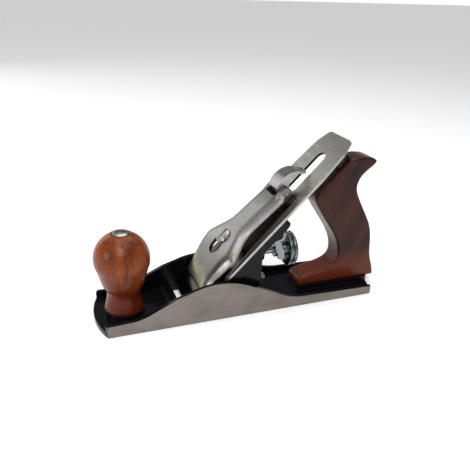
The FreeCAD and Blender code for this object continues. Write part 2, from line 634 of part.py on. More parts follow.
def cam_lever():
    """Hub on the pin with an arched tongue that presses the cap down when it lies flat."""
    body = piece("cam_lever")
    pad(body, ring(sketch_on(body, "side"), "0", "0", "cam_hub_radius"),
        "cam_width", both_ways=True)
    drawing = sketch_on(body, "side")
    heel = [Vector(-3.4, 2.2, 0), Vector(-3.6, 5.4, 0), Vector(-0.4, 8.8, 0)]
    outer = [heel[-1], Vector(10.2, 9.5, 0), Vector(19.6, 4.4, 0)]
    inner = [Vector(18.2, 2.6, 0), Vector(12.4, 6.0, 0), Vector(7.4, 2.0, 0)]
    tip = [Vector(25.6, -2.9, 0), Vector(24.2, -4.6, 0)]
    edges = [Part.Arc(*heel), Part.Arc(*outer), Part.LineSegment(outer[-1], tip[0]),
             Part.LineSegment(tip[0], tip[1]), Part.LineSegment(tip[1], inner[0]),
             Part.Arc(*inner), Part.LineSegment(inner[-1], Vector(2, -3, 0)),
             Part.LineSegment(Vector(2, -3, 0), heel[0])]
    for edge in edges:
        index = drawing.addGeometry(edge)
        drawing.addConstraint(Sketcher.Constraint("Block", index))
    pad(body, drawing, "cam_width", both_ways=True)
    corners = sketch_on(body, "floor", "-20")
    mirrored_outline(corners, [("-40", "30"), ("40", "30")])
    mirrored_outline(corners, [("-10", "cam_width / 2 + 1"), ("26", "cam_width / 2 - 0.2", "7.6")])
    pocket(body, corners, "60", upward=True)
    pocket(body, ring(sketch_on(body, "side"), "0", "0", "cam_pin_radius + fit_gap"),
           "40", both_ways=True)
    on_bed(body, "cam_at", "cam_height")
    return body


def cross_pin(name, radius, length):
    """Plain pin along Y, centred on its own origin."""
    body = piece(name)
    pad(body, ring(sketch_on(body, "side"), "0", "0", radius), length, both_ways=True)
    return body


def lever_cap_screw():
    body = turned("lever_cap_screw", [
        ("0", "-6"), ("stud_radius", "-6"), ("stud_radius", "cap_crest + 0.62"),
        ("7", "cap_crest + 0.62"), ("7", "cap_crest + 1.6"), ("5", "cap_crest + 2.9"),
        ("0", "cap_crest + 3.3")])
    screw_slot(body, "cap_crest + 3.3", "1.5", "1.7")
    on_bed(body, "cap_screw")
    return body


def cap_spring():
    """Flat bow spring under the cap, riveted at one end, with the cam bearing on the other."""
    body = piece("lever_cap_spring")
    pad(body, outline(sketch_on(body, "side"), [
        ("cap_top - 20", "cap_crest - 6.6"), ("cap_top - 12.5", "cap_crest - 6.95", "3"),
        ("cam_at - 4", "4.3", "4"), ("cam_at + 5", "4.3"), ("cam_at + 5", "4.95"),
        ("cam_at - 3.8", "4.95", "4.6"), ("cap_top - 12.2", "cap_crest - 6.25", "3.6"),
        ("cap_top - 20", "cap_crest - 5.9")]), "12", both_ways=True)
    pocket(body, ring(sketch_on(body, "floor"), "cap_top - 17", "0", "1.6 + thread_gap"),
           "40", upward=True)
    on_bed(body)
    return body


# ---- depth adjuster --------------------------------------------------------------------

def depth_wheel():
    """Knurled two-rimmed wheel on a grooved hub, bored for the rod it turns on."""
    side = "groove_width / 2"
    centre = "(groove_centre - wheel_front)"
    body = turned("depth_wheel", [
        ("rod_radius + fit_gap", "0"), ("hub_radius - 0.5", "0"), ("hub_radius", "0.6"),
        ("hub_radius", f"{centre} - {side}"), ("hub_radius - 2.4", f"{centre} - {side}"),
        ("hub_radius - 2.4", f"{centre} + {side}"), ("hub_radius", f"{centre} + {side}"),
        ("hub_radius", "10.4"), ("wheel_radius - 2.6", "10.4"), ("wheel_radius", "11.2"),
        ("wheel_radius", "13.2"), ("wheel_radius - 2", "13.6"), ("wheel_radius - 2", "14.8"),
        ("wheel_radius", "15.2"), ("wheel_radius", "17.4"), ("wheel_radius - 1", "18"),
        ("wheel_radius - 4", "18"), ("wheel_radius - 5", "16.6"), ("8.5", "16.6"),
        ("7.6", "17.6"), ("rod_radius + fit_gap", "17.6")])
    stand_at(body, "wheel_front", "0", "wheel_height", ((0, 1, 0), "90"))
    return body


def wheel_rod():
    """Rod that the wheel turns on, from the frog's boss to the wheel's rear face."""
    body = turned("adjusting_rod", [
        ("0", "0"), ("rod_radius", "0"), ("rod_radius", "rod_length - 0.6"),
        ("rod_radius - 0.6", "rod_length"), ("0", "rod_length")])
    stand_at(body, "wheel_front + 17.4 - rod_length", "0", "wheel_height", ((0, 1, 0), "90"))
    return body


def yoke():
    """Forked lever: a finger up through the frog, a hub on the pin, two arms to the wheel."""
    body = piece("yoke_lever")
    reach = "(groove_centre - yoke_x)"
    drop = "(yoke_height - wheel_height + 2.35)"
    pad(body, ring(sketch_on(body, "side"), "0", "0", "3.4"), "19.6", both_ways=True)
    # the finger leans up the bed at rest by half of the yoke's swing
    lean = "(bed_angle - yoke_swing / 2)"
    tip = "((finger_tip + 12.6) / cos(yoke_swing / 2))"
    finger = outline(sketch_on(body, "side"), [
        (f"-1.5 * cos{lean}", f"-1.5 * sin{lean}"), (f"1.5 * cos{lean}", f"1.5 * sin{lean}"),
        (f"1.5 * cos{lean} - ({tip} - 1.5) * sin{lean}",
         f"1.5 * sin{lean} + ({tip} - 1.5) * cos{lean}"),
        (f"-{tip} * sin{lean}", f"{tip} * cos{lean}"),
        (f"-1.5 * cos{lean} - ({tip} - 1.5) * sin{lean}",
         f"-1.5 * sin{lean} + ({tip} - 1.5) * cos{lean}")])
    pad(body, finger, "5", both_ways=True)
    arms = outline(sketch_on(body, "side"), [
        ("-2", "1"), ("-1.6", "-8", "6"), (f"{reach} - 3", f"-{drop}", "5"),
        (f"{reach} - 2.6", f"-{drop} - 3.4", "1.4"), (f"{reach} + 2.4", f"-{drop} - 3.4", "1.4"),
        (f"{reach} + 2.6", f"-{drop} + 3", "5"), ("3", "-6", "6"), ("2.6", "1")])
    pad(body, arms, "19.6", both_ways=True)
    gap = outline(sketch_on(body, "side"), [
        ("-6", "-3.8"), (f"{reach} + 9", "-3.8"), (f"{reach} + 9", f"-{drop} - 9"),
        ("-6", f"-{drop} - 9")])
    pocket(body, gap, "14.2", both_ways=True)
    pads = ring(sketch_on(body, "side"), reach, f"-{drop}", "pad_radius")
    pad(body, pads, "16", both_ways=True)
    pocket(body, ring(sketch_on(body, "side"), reach, f"-{drop}", "pad_radius + 3"),
           "9", both_ways=True)
    pocket(body, ring(sketch_on(body, "side"), "0", "0", "yoke_pin_radius + fit_gap"),
           "40", both_ways=True)
    stand_at(body, "yoke_x", "0", "yoke_height")
    return body


# ---- lateral lever ---------------------------------------------------------------------

def lateral_lever():
    """Flat pressed lever under the iron, stepped down to a thumb plate at its top."""
    body = piece("lateral_lever")
    pad(body, mirrored_outline(sketch_on(body, "floor", "lateral_level"), [
        ("roller_at - 4.6", "4", "3.8"), ("lateral_pivot - 3", "5", "8"),
        ("lateral_pivot + 6", "4.2", "8"), ("lateral_bend", "3")]), "lateral_sheet")
    pad(body, outline(sketch_on(body, "side"), [
        ("lateral_bend - 1", "lateral_level"), ("lateral_bend + 6", "thumb_level"),
        ("thumb_at + 6", "thumb_level"), ("thumb_at + 6", "thumb_level + lateral_sheet"),
        ("lateral_bend + 6.8", "thumb_level + lateral_sheet"),
        ("lateral_bend - 0.2", "lateral_level + lateral_sheet")]), "6", both_ways=True)
    for along, radius in (("roller_at", "1.5"), ("lateral_pivot", "1.6")):
        pocket(body, ring(sketch_on(body, "floor", "lateral_level - 1"), along, "0",
                          radius + " + fit_gap"), "8", upward=True)
    on_bed(body)
    return body


def thumb_piece():
    """Round-cornered tab under the lateral lever's stepped end, where the thumb pushes."""
    body = piece("lateral_thumb_piece")
    pad(body, mirrored_outline(sketch_on(body, "floor", "thumb_level"), [
        ("thumb_at - 8.5", "8.5", "5"), ("thumb_at + 8.5", "8.5", "8")]), "2.6", down=True)
    on_bed(body)
    return body


def lateral_pivot():
    body = turned("lateral_pivot", [
        ("0", "-11"), ("1.6", "-11"), ("1.6", "lateral_level + lateral_sheet + 0.05"),
        ("2.7", "lateral_level + lateral_sheet + 0.05"),
        ("2.2", "lateral_level + lateral_sheet + 0.25"),
        ("0", "lateral_level + lateral_sheet + 0.28")])
    on_bed(body, "lateral_pivot")
    return body


def lateral_roller():
    """Shouldered disc that stands in the cutter's slot, turning on a rivet in the lever."""
    body = turned("lateral_roller", [
        ("0", "lateral_level + 0.05"), ("1.5", "lateral_level + 0.05"),
        ("1.5", "lateral_level + lateral_sheet + 0.1"),
        ("2", "lateral_level + lateral_sheet + 0.1"), ("2", "0.2"), ("roller_radius", "0.2"),
        ("roller_radius", "1.9"), ("0", "1.9")])
    on_bed(body, "roller_at")
    return body


# ---- rear handle -----------------------------------------------------------------------

def handle():
    """Shaped closed-foot handle with a swept horn, bored for its leaning stud."""
    body = piece("rear_handle")
    side = outline(sketch_on(body, "side"), [
        ("135.5", "handle_foot"), ("130.6", "34", "60"), ("127.2", "54", "32"),
        ("101.4", "96", "16"), ("128.2", "119.4", "5.2"), ("109", "124.9", "22"),
        ("98.6", "123.2", "6"), ("65", "91", "7"), ("97.9", "43.6", "26"),
        ("97.2", "24.6", "8"), ("58.5", "17", "6"), ("58.5", "handle_foot")])
    blank = pad(body, side, "handle_width", both_ways=True)
    edges = []
    for index, edge in enumerate(blank.Shape.Edges, 1):
        middle = edge.valueAt((edge.FirstParameter + edge.LastParameter) / 2)
        if abs(abs(middle.y) - value("handle_width / 2")) < 1e-6 and middle.z > 9:
            edges.append("Edge%d" % index)
    rounds = body.newObject("PartDesign::Fillet", "handle_rounding")
    rounds.Base = (blank, edges)
    bind(rounds, "Radius", "handle_rounding")
    doc.recompute()
    return body


def leaning(body, along):
    """Place a turned body on the handle's stud axis, `along` up it."""
    stand_at(body, f"handle_rod_low_x - ({along}) * sin(handle_rod_lean)", "0",
             f"handle_rod_low_z + ({along}) * cos(handle_rod_lean)",
             ((0, -1, 0), "handle_rod_lean"))
    return body


def lean_bore(name, target, radius, start, length):
    """Bore a body along the handle's stud axis, and keep the result under its own name."""
    PARTS.remove(target)
    drill = doc.addObject("Part::Cylinder", name + "_drill_" + str(len(doc.Objects)))
    bind(drill, "Radius", radius)
    bind(drill, "Height", length)
    leaning(drill, start)
    bored = doc.addObject("Part::Cut", name + "_bored_" + str(len(doc.Objects)))
    bored.Base, bored.Tool = target, drill
    PARTS.append(bored)
    doc.recompute()
    return bored


def named(shape, label):
    """Give a finished boolean the node's own label."""
    for other in doc.Objects:
        if other.Label == label:
            other.Label = label + "_blank"
    shape.Label = label
    return shape


# ---- build everything ------------------------------------------------------------------

ROD_TOP = "110.5"
casting = sole_casting()
casting = lean_bore("sole", casting, "stud_radius + thread_gap", "0", "12")
casting = named(casting, "sole_casting")

knob()
knob_rod = stud("knob_stud", "knob_top - 6")
stand_at(knob_rod, "knob_x", "0", "2.2")
stand_at(barrel_nut("knob_nut", "12"), "knob_x", "0", "knob_top - 1.2")

frog()
pair("frog_screws", frog_screw, "frog_screw_x", "frog_screw_y")
pair("frog_washers", frog_washer, "frog_screw_x", "frog_screw_y")
frog_adjuster()
pair("frog_plate_screws", plate_screw, "plate_screw_x", "plate_screw_y")

cutter()
cap_iron()
cap_iron_screw()

lever_cap()
cam_lever()
on_bed(cross_pin("cam_pin", "cam_pin_radius", "27.2"), "cam_at", "cam_height")
cap_spring()
on_bed(turned("spring_rivet", [
    ("0", "cap_crest - 7.4"), ("2.6", "cap_crest - 7.4"), ("2.6", "cap_crest - 6.95"),
    ("1.6", "cap_crest - 6.95"), ("1.6", "cap_crest - 3.4"), ("0", "cap_crest - 3.4")]),
    "cap_top - 17")
lever_cap_screw()

depth_wheel()
wheel_rod()
yoke()
stand_at(cross_pin("yoke_pin", "yoke_pin_radius", "28.6"), "yoke_x", "0", "yoke_height")

lateral_lever()
thumb_piece()
lateral_pivot()
lateral_roller()

grip = handle()
for radius, start, length in (("stud_radius + 0.3", "2", "130"),
                              ("nut_barrel_radius + 0.2", ROD_TOP + " - 12", "40"),
                              ("nut_head_radius + 0.3", ROD_TOP + " - 0.3", "30")):
    grip = lean_bore("handle", grip, radius, start, length)
named(grip, "rear_handle")
leaning(stud("handle_stud", ROD_TOP + " - 2.5"), "0.6")
leaning(barrel_nut("handle_nut", "11"), ROD_TOP)

doc.recompute()
for thing in doc.Objects:
    if {"Invalid", "Error"} & set(thing.State):
        raise RuntimeError(f"{thing.Name} failed: {thing.State}")
os.makedirs("parts", exist_ok=True)
for node in PARTS:
    shape = node.Shape
    if shape.isNull() or not shape.isValid():
        raise RuntimeError(node.Label + " has no valid shape")
    shape.exportStep(os.path.join("parts", node.Label + ".step"))
    print(f"{node.Label:24s} solids {len(shape.Solids)}  volume {shape.Volume:9.1f}")
print("nodes", len(PARTS))
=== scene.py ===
import json
import math

import bmesh
import bpy
from bpy.props import FloatProperty, FloatVectorProperty, IntProperty, PointerProperty
from mathutils import Matrix, Vector


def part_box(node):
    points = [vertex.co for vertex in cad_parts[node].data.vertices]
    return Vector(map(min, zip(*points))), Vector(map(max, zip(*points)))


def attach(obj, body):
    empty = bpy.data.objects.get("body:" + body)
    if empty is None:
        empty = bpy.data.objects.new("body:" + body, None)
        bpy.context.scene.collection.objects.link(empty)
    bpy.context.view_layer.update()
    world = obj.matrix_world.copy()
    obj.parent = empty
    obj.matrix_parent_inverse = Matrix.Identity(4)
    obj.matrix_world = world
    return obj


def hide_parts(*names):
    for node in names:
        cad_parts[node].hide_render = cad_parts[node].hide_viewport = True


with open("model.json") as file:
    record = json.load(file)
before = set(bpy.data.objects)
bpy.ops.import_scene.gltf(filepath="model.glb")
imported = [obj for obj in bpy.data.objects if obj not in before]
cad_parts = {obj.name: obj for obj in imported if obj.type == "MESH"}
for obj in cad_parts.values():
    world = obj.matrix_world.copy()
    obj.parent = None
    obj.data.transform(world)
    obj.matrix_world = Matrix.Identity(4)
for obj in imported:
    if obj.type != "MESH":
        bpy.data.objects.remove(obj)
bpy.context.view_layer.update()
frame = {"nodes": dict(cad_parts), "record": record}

bl_info = {
    "name": "Smoothing Plane Finish",
    "version": (1, 0, 0),
    "blender": (4, 5, 0),
    "location": "View3D > Sidebar > Plane",
    "description": "Shapes and finishes for a metal smoothing plane with wooden handles",
    "category": "Object",
}

MM = 0.001
SLOT_WALL = 7.5 * MM  # the walls of the cutter's slot all lie nearer the middle than this
GRIND_RAG = 0.12 * MM  # how far the enamel's edge wanders over the ground side
GRIND_DEPTH = 0.22 * MM  # how far in from the sides the casting is ground
SOLE_DEPTH = 0.3 * MM  # how far up from the sole the casting is ground
NUT_ROOM = 0.3 * MM  # gap round the knob's nut
STUD_BORE = 3.3 * MM  # radius of the hole for the knob's stud
STUD_LEAN = math.radians(12.85)  # how far the handle's stud leans from upright
HANDLE_NUT_BORE = 7.0 * MM  # radius of the counterbore for the handle's nut
HANDLE_VOXEL = 0.9 * MM  # fineness of the rounded handle's mesh
FOOT_BAND = 2.2 * MM  # the lowest part of the handle, pressed flat where it meets the casting
GRAIN_TURN = math.radians(-24)  # the handle's grain leans with its grip
BED_CLEAR = 8.65  # the lever cap's hollow stays this far off the bed, in millimetres
KEYHOLE = (59.1, 8.3)  # round end of the keyhole: how far up the bed, and its radius
KEY_SLOT = (68.6, 4.1)  # narrow end of the keyhole: how far up the bed, and its half width
CAM_NOTCH = (121.8, 8.6)  # notch for the cam: how far up the bed, and its half width
CAM_PIN = (130.6, 9.4)  # the cam's pin: how far up the bed and off it
LUG_RADIUS = 4.9  # round end of each lug that holds the pin
LUG_PLACE = (11.15, 4.9)  # the lugs' distance from the middle, and their thickness
BEVEL_GROWTH = 14  # the lever cap's side bevel grows from its lip over this many millimetres

FLOOR_REACH = 9  # metres from the middle to each side of the floor
FLOOR_GLOW = 0.22  # the floor's own light, which keeps it near white
LIGHT_AIM = Vector((0.0, 0.0, 0.05))  # every light looks here
LIGHTS = [  # name, place, side of its square, power in watts
    ("key", (-0.30, -0.75, 0.95), 0.6, 6.0),
    ("top", (0.15, 0.25, 1.15), 1.0, 6.0),
    ("side", (-1.05, -0.20, 0.40), 0.35, 2.5),
    ("back", (-0.62, 1.20, 0.50), 0.75, 2.0)]
SKY = [  # height from the horizon up to overhead, and the sky's colour there
    (0.0, (1.0, 1.0, 1.0)), (0.10, (0.55, 0.55, 0.56)), (0.30, (0.13, 0.13, 0.14)),
    (0.52, (0.12, 0.12, 0.13)), (0.75, (0.5, 0.5, 0.5)), (1.0, (0.8, 0.8, 0.8))]
CAMERA_TURNS = (-21.0, 24.54, 2.03)  # azimuth, elevation and roll, in degrees
CAMERA_AIM = Vector((-1.15, 0.0, 61.06)) * MM
CAMERA_DISTANCE = 468.9  # in millimetres
CAMERA_LENS = 42.26


# ---- sizes and colours that a user would change ----------------------------------------

def millimetres(name, description, default):
    """A length property whose default is given in millimetres."""
    return FloatProperty(name=name, description=description, default=default * MM,
                         unit="LENGTH", subtype="DISTANCE", precision=5)


def colour(name, description, default):
    """A colour property."""
    return FloatVectorProperty(name=name, description=description, default=default,
                               subtype="COLOR", size=3, min=0.0, max=1.0)


class PlaneSizes(bpy.types.PropertyGroup):
    """Sizes of the pieces that are shaped here, in the plane's own frame."""

    bed_angle: FloatProperty(
        name="Bed angle", description="Slope of the iron above the sole",
        default=math.radians(45), unit="ROTATION", subtype="ANGLE")
    bed_start: millimetres("Bed start", "Where the bed's plane meets the sole, along X", -47.19)
    ball_radius: millimetres("Ball radius", "Radius of the knob's ball", 22.7)
    ball_height: millimetres("Ball height", "Height of the ball's centre above the sole", 53.2)
    neck_radius: millimetres("Neck radius", "Radius of the knob's waist", 13.7)
    handle_width: millimetres("Handle width", "Thickness of the rear handle", 22)
    handle_round: millimetres("Handle rounding", "How far the handle's edges are rounded", 7.4)
    cap_thickness: millimetres("Cap thickness", "Thickness of the lever cap's shell", 3.4)
    cap_bevel: millimetres("Cap bevel", "Width of the bevel along the lever cap's sides", 5.6)
    cap_drop: millimetres("Cap drop", "How far the lever cap's side bevel falls", 3.6)
    rib_depth: millimetres("Knurl depth", "Depth of the wheel's knurling", 0.7)
    rib_count: IntProperty(name="Knurls", description="Knurls round each rim of the wheel",
                           default=44, min=12, max=90)


class PlaneColours(bpy.types.PropertyGroup):
    """Colours of the wood, the enamel and the metals, some of them painted shade and painted
    reflections.
    """

    knob_light: colour("Knob, light", "The knob's wood where the varnish is thin",
                       (0.27, 0.058, 0.009))
    knob_dark: colour("Knob, dark", "The knob's wood in the grain's dark bands",
                      (0.055, 0.006, 0.0015))
    # painted shade: the knob's neck and the underside of its ball are coloured this darker brown
    knob_low_shade: colour("Knob, deep", "The knob's wood where the stain is thick",
                      (0.095, 0.009, 0.002))
    handle_light: colour("Handle, light", "The handle's wood where it is rubbed",
                         (0.062, 0.011, 0.004))
    handle_dark: colour("Handle, dark", "The handle's wood in the grain's dark bands",
                        (0.010, 0.0018, 0.0012))
    # the handle's wood turns to this lighter colour towards its foot
    handle_deep: colour("Handle, deep", "The handle's foot where the varnish has run",
                        (0.14, 0.022, 0.005))
    enamel: colour("Enamel", "Gloss enamel inside the casting", (0.004, 0.004, 0.0055))
    iron_ground: colour("Ground iron", "Ground sides and sole", (0.215, 0.19, 0.17))
    iron_stain: colour("Iron stain", "Faint brown stains on the ground iron",
                       (0.125, 0.10, 0.085))
    bright: colour("Bright plate", "Polished plate of the lever cap", (0.36, 0.355, 0.34))
    # painted reflection: a pale straw band across the lever cap's lip
    cap_lip_reflection: colour("Cap tint", "Pale straw bloom at the lever cap's lip",
                     (0.42, 0.41, 0.25))
    # painted dark reflection in bands along the lever cap, and also the colour of its dull specks
    cap_specks_and_dark_reflection: colour("Cap, dull", "Duller plate where the lever cap is handled",
                       (0.20, 0.195, 0.18))
    cam: colour("Cam plate", "Polished cam lever, faintly violet", (0.40, 0.385, 0.41))
    blade: colour("Blade steel", "Fine ground cutting iron", (0.47, 0.465, 0.41))
    # painted dark reflection: the polished cap iron is coloured this dark because it reflects dark
    # surroundings
    cap_iron: colour("Cap iron steel", "Dark polished cap iron", (0.10, 0.09, 0.085))
    zinc: colour("Zinc plate", "Plated wheel and yoke", (0.27, 0.295, 0.295))
    steel: colour("Plain steel", "Pins, rods and springs", (0.42, 0.42, 0.42))
    dark_steel: colour("Dark steel", "Oil-blacked screws", (0.05, 0.05, 0.055))
    floor: colour("Floor", "Pale floor under the plane", (0.93, 0.93, 0.93))


def sizes():
    """The scene's plane sizes."""
    return bpy.context.scene.plane_sizes


def colours():
    """The scene's plane colours."""
    return bpy.context.scene.plane_colours


# ---- building finishes out of shader nodes -----------------------------------------------

def fill_ramp(band, stops):
    """Set a colour ramp's stops, which are (position, colour) pairs."""
    while len(band.elements) < len(stops):
        band.elements.new(0.5)
    for element, (position, shade) in zip(band.elements, stops):
        element.position = position
        element.color = (*shade, 1.0)


class Finish:
    """A material under construction: one Principled shader and the nodes that drive it."""

    def __init__(self, name, roughness, metallic=0.0):
        self.material = bpy.data.materials.new(name)
        self.material.use_nodes = True
        self.tree = self.material.node_tree
        self.shader = self.tree.nodes["Principled BSDF"]
        self.shader.inputs["Metallic"].default_value = metallic
        self.shader.inputs["Roughness"].default_value = roughness
        self.place = self.add("ShaderNodeTexCoord").outputs["Object"]

    def add(self, kind, **settings):
        """A new node of the given kind."""
        node = self.tree.nodes.new(kind)
        for key, value in settings.items():
            setattr(node, key, value)
        return node

    def join(self, start, end):
        """Link an output to an input."""
        self.tree.links.new(start, end)

    def stretched(self, scale, turn=(0, 0, 0)):
        """Object coordinates turned, then stretched, so that a texture runs along one way."""
        turning = self.add("ShaderNodeMapping")
        turning.inputs["Rotation"].default_value = turn
        stretching = self.add("ShaderNodeMapping")
        stretching.inputs["Scale"].default_value = scale
        self.join(self.place, turning.inputs["Vector"])
        self.join(turning.outputs["Vector"], stretching.inputs["Vector"])
        return stretching.outputs["Vector"]

    def noise(self, vector, scale=1.0, detail=3.0, roughness=0.5, distortion=0.0):
        """A cloudy texture with values about one half."""
        node = self.add("ShaderNodeTexNoise")
        node.inputs["Scale"].default_value = scale
        node.inputs["Detail"].default_value = detail
        node.inputs["Roughness"].default_value = roughness
        node.inputs["Distortion"].default_value = distortion
        self.join(vector, node.inputs["Vector"])
        return node.outputs["Fac"]

    def ramp(self, value, stops):
        """A colour ramp; `stops` are (position, colour) pairs."""
        node = self.add("ShaderNodeValToRGB")
        fill_ramp(node.color_ramp, stops)
        self.join(value, node.inputs["Fac"])
        return node.outputs["Color"]

    def grey(self, value, low, high, start=0.3, end=0.7):
        """A number that runs from `low` to `high` as the input goes from start to end."""
        node = self.add("ShaderNodeMapRange")
        node.inputs["From Min"].default_value = start
        node.inputs["From Max"].default_value = end
        node.inputs["To Min"].default_value = low
        node.inputs["To Max"].default_value = high
        self.join(value, node.inputs["Value"])
        return node.outputs["Result"]

    def mix(self, factor, first, second, blend="MIX"):
        """Two colours mixed; each of them is an output or a plain colour."""
        node = self.add("ShaderNodeMix", data_type="RGBA", blend_type=blend)
        self.feed(node.inputs["Factor"], factor)
        self.feed(node.inputs[6], first)
        self.feed(node.inputs[7], second)
        return node.outputs[2]

    def feed(self, socket, source):
        """Give a socket an output, a number or a colour."""
        if isinstance(source, bpy.types.NodeSocket):
            self.join(source, socket)
        elif isinstance(source, (int, float)):
            socket.default_value = source
        else:
            socket.default_value = (*source, 1.0)

    def maths(self, first, second, operation="ADD"):
        """One sum, product or comparison of two numbers, worked out at each point."""
        node = self.add("ShaderNodeMath", operation=operation)
        self.feed(node.inputs[0], first)
        self.feed(node.inputs[1], second)
        return node.outputs[0]

    def bump(self, height, strength, depth):
        """Fine relief from a height, at most `depth` metres deep."""
        node = self.add("ShaderNodeBump")
        node.inputs["Strength"].default_value = strength
        node.inputs["Distance"].default_value = depth
        self.join(height, node.inputs["Height"])
        self.join(node.outputs["Normal"], self.shader.inputs["Normal"])

    def drive(self, name, output):
        """Let an output set one of the shader's values."""
        self.join(output, self.shader.inputs[name])

    def worn_and_highlit_edges(self, radius):
        """How much a point stands on a sharp outer edge, from 0 to 1; on enamel it marks wear, and
        on metal a painted edge highlight that is partly metal rubbed bright.
        """
        bevel = self.add("ShaderNodeBevel", samples=4)
        bevel.inputs["Radius"].default_value = radius
        geometry = self.add("ShaderNodeNewGeometry")
        dot = self.add("ShaderNodeVectorMath", operation="DOT_PRODUCT")
        self.join(bevel.outputs["Normal"], dot.inputs[0])
        self.join(geometry.outputs["Normal"], dot.inputs[1])
        return self.grey(dot.outputs["Value"], 1.0, 0.0, 0.86, 0.985)


def varnished_wood(name, light, dark, deep, grain, turn=(0, 0, 0), fade=(0.02, 0.05)):
    """Stained hardwood under gloss varnish; `grain` stretches it along its own axis.

    Below the first height of `fade` the colour is mostly `deep`, and it turns back to the grain's
    colours up to the second; on the knob this is painted shade on its neck and the underside of its
    ball.
    """
    light, dark, deep = tuple(light), tuple(dark), tuple(deep)
    finish = Finish(name, 0.28)
    along = finish.stretched(grain, turn)
    bands = finish.noise(along, 1.0, 5.0, 0.58, 1.2)
    fibres = finish.noise(along, 7.0, 4.0, 0.7)
    clouds = finish.noise(finish.place, 38.0, 2.0)
    warm = [0.55 * high + 0.45 * low for high, low in zip(light, dark)]
    base = finish.ramp(bands, [(0.36, dark), (0.47, warm), (0.62, light)])
    base = finish.mix(finish.grey(fibres, 0.0, 0.55, 0.48, 0.66), base, dark)
    base = finish.mix(finish.grey(clouds, 0.0, 0.4, 0.45, 0.68), base, warm)
    height = finish.add("ShaderNodeSeparateXYZ")
    finish.join(finish.place, height.inputs["Vector"])
    # below the fade heights the wood turns to `deep`: painted shade under the knob's ball, and a
    # lighter colour at the handle's foot
    low_shade_and_tone = finish.grey(height.outputs["Z"], 0.85, 0.0, fade[0], fade[1])
    finish.drive("Base Color", finish.mix(low_shade_and_tone, base, deep))
    finish.drive("Roughness", finish.grey(clouds, 0.34, 0.46))
    finish.shader.inputs["IOR"].default_value = 1.25
    finish.shader.inputs["Coat Weight"].default_value = 0.45
    finish.shader.inputs["Coat IOR"].default_value = 1.3
    finish.shader.inputs["Coat Roughness"].default_value = 0.09
    finish.bump(finish.maths(fibres, clouds), 0.12, 0.0004)
    return finish.material


def gloss_enamel(name, orange_peel=0.3):
    """Thick black gloss enamel, slightly rippled over the casting, thin on its edges."""
    finish = Finish(name, 0.16)
    ripple = finish.noise(finish.place, 260.0, 2.0)
    swell = finish.noise(finish.place, 60.0, 2.0)
    worn = finish.maths(finish.worn_and_highlit_edges(0.0006),
                      finish.grey(ripple, 0.0, 1.0, 0.46, 0.6), "MULTIPLY")
    finish.drive("Base Color", finish.mix(finish.maths(worn, 0.4, "MULTIPLY"),
                                          tuple(colours().enamel), (0.12, 0.115, 0.11)))
    finish.drive("Roughness", finish.grey(swell, 0.10, 0.26))
    finish.shader.inputs["Coat Weight"].default_value = 0.15
    finish.shader.inputs["Coat Roughness"].default_value = 0.05
    finish.shader.inputs["Specular IOR Level"].default_value = 0.12
    finish.bump(finish.maths(finish.maths(ripple, 0.35, "MULTIPLY"), swell), orange_peel, 0.0008)
    return finish.material


def enamelled_iron(name):
    """Cast iron, ground bright on its sides and sole and enamelled everywhere else."""
    shade = colours()
    finish = Finish(name, 0.3)
    height = finish.add("ShaderNodeSeparateXYZ")
    finish.join(finish.place, height.inputs["Vector"])
    ripple = finish.noise(finish.place, 260.0, 2.0)
    swell = finish.noise(finish.place, 60.0, 2.0)
    ragged = finish.grey(ripple, -GRIND_RAG, GRIND_RAG)
    half_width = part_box("sole_casting")[1][1]
    side = finish.maths(finish.maths(height.outputs["Y"], 0.0, "ABSOLUTE"), ragged)
    on_side = finish.maths(side, half_width - GRIND_DEPTH, "GREATER_THAN")
    below = finish.maths(height.outputs["Z"], SOLE_DEPTH, "LESS_THAN")
    ground = finish.maths(on_side, below, "MAXIMUM")

    # grinding marks run along the plane, over faint brown stains
    marks = finish.noise(finish.stretched((14, 900, 900)), 1.0, 4.0, 0.65)
    stains = finish.noise(finish.stretched((1.0, 1.0, 1.6)), 42.0, 5.0, 0.62, 0.6)
    pits = finish.noise(finish.place, 900.0, 2.0)
    metal = finish.mix(finish.grey(stains, 0.0, 0.75, 0.46, 0.70),
                       tuple(shade.iron_ground), tuple(shade.iron_stain))
    metal = finish.mix(finish.grey(marks, 0.0, 0.5), metal, (0.26, 0.24, 0.225))
    worn = finish.maths(finish.worn_and_highlit_edges(0.0005), 0.35, "MULTIPLY")
    paint = finish.mix(worn, tuple(shade.enamel), (0.10, 0.098, 0.095))
    finish.drive("Base Color", finish.mix(ground, paint, metal))
    finish.drive("Metallic", finish.maths(ground, 0.92, "MULTIPLY"))
    finish.shader.inputs["Specular IOR Level"].default_value = 0.2
    rough_metal = finish.maths(finish.grey(marks, 0.30, 0.46), finish.grey(pits, 0.0, 0.08))
    rough_paint = finish.grey(swell, 0.12, 0.26)
    roughness = finish.add("ShaderNodeMix", data_type="FLOAT")
    finish.join(ground, roughness.inputs["Factor"])
    finish.join(rough_paint, roughness.inputs["A"])
    finish.join(rough_metal, roughness.inputs["B"])
    finish.drive("Roughness", roughness.outputs["Result"])
    relief = finish.add("ShaderNodeMix", data_type="FLOAT")
    finish.join(ground, relief.inputs["Factor"])
    finish.join(finish.maths(swell, finish.maths(ripple, 0.3, "MULTIPLY")), relief.inputs["A"])
    finish.join(finish.maths(marks, 0.06, "MULTIPLY"), relief.inputs["B"])
    finish.bump(relief.outputs["Result"], 0.35, 0.0008)
    return finish.material


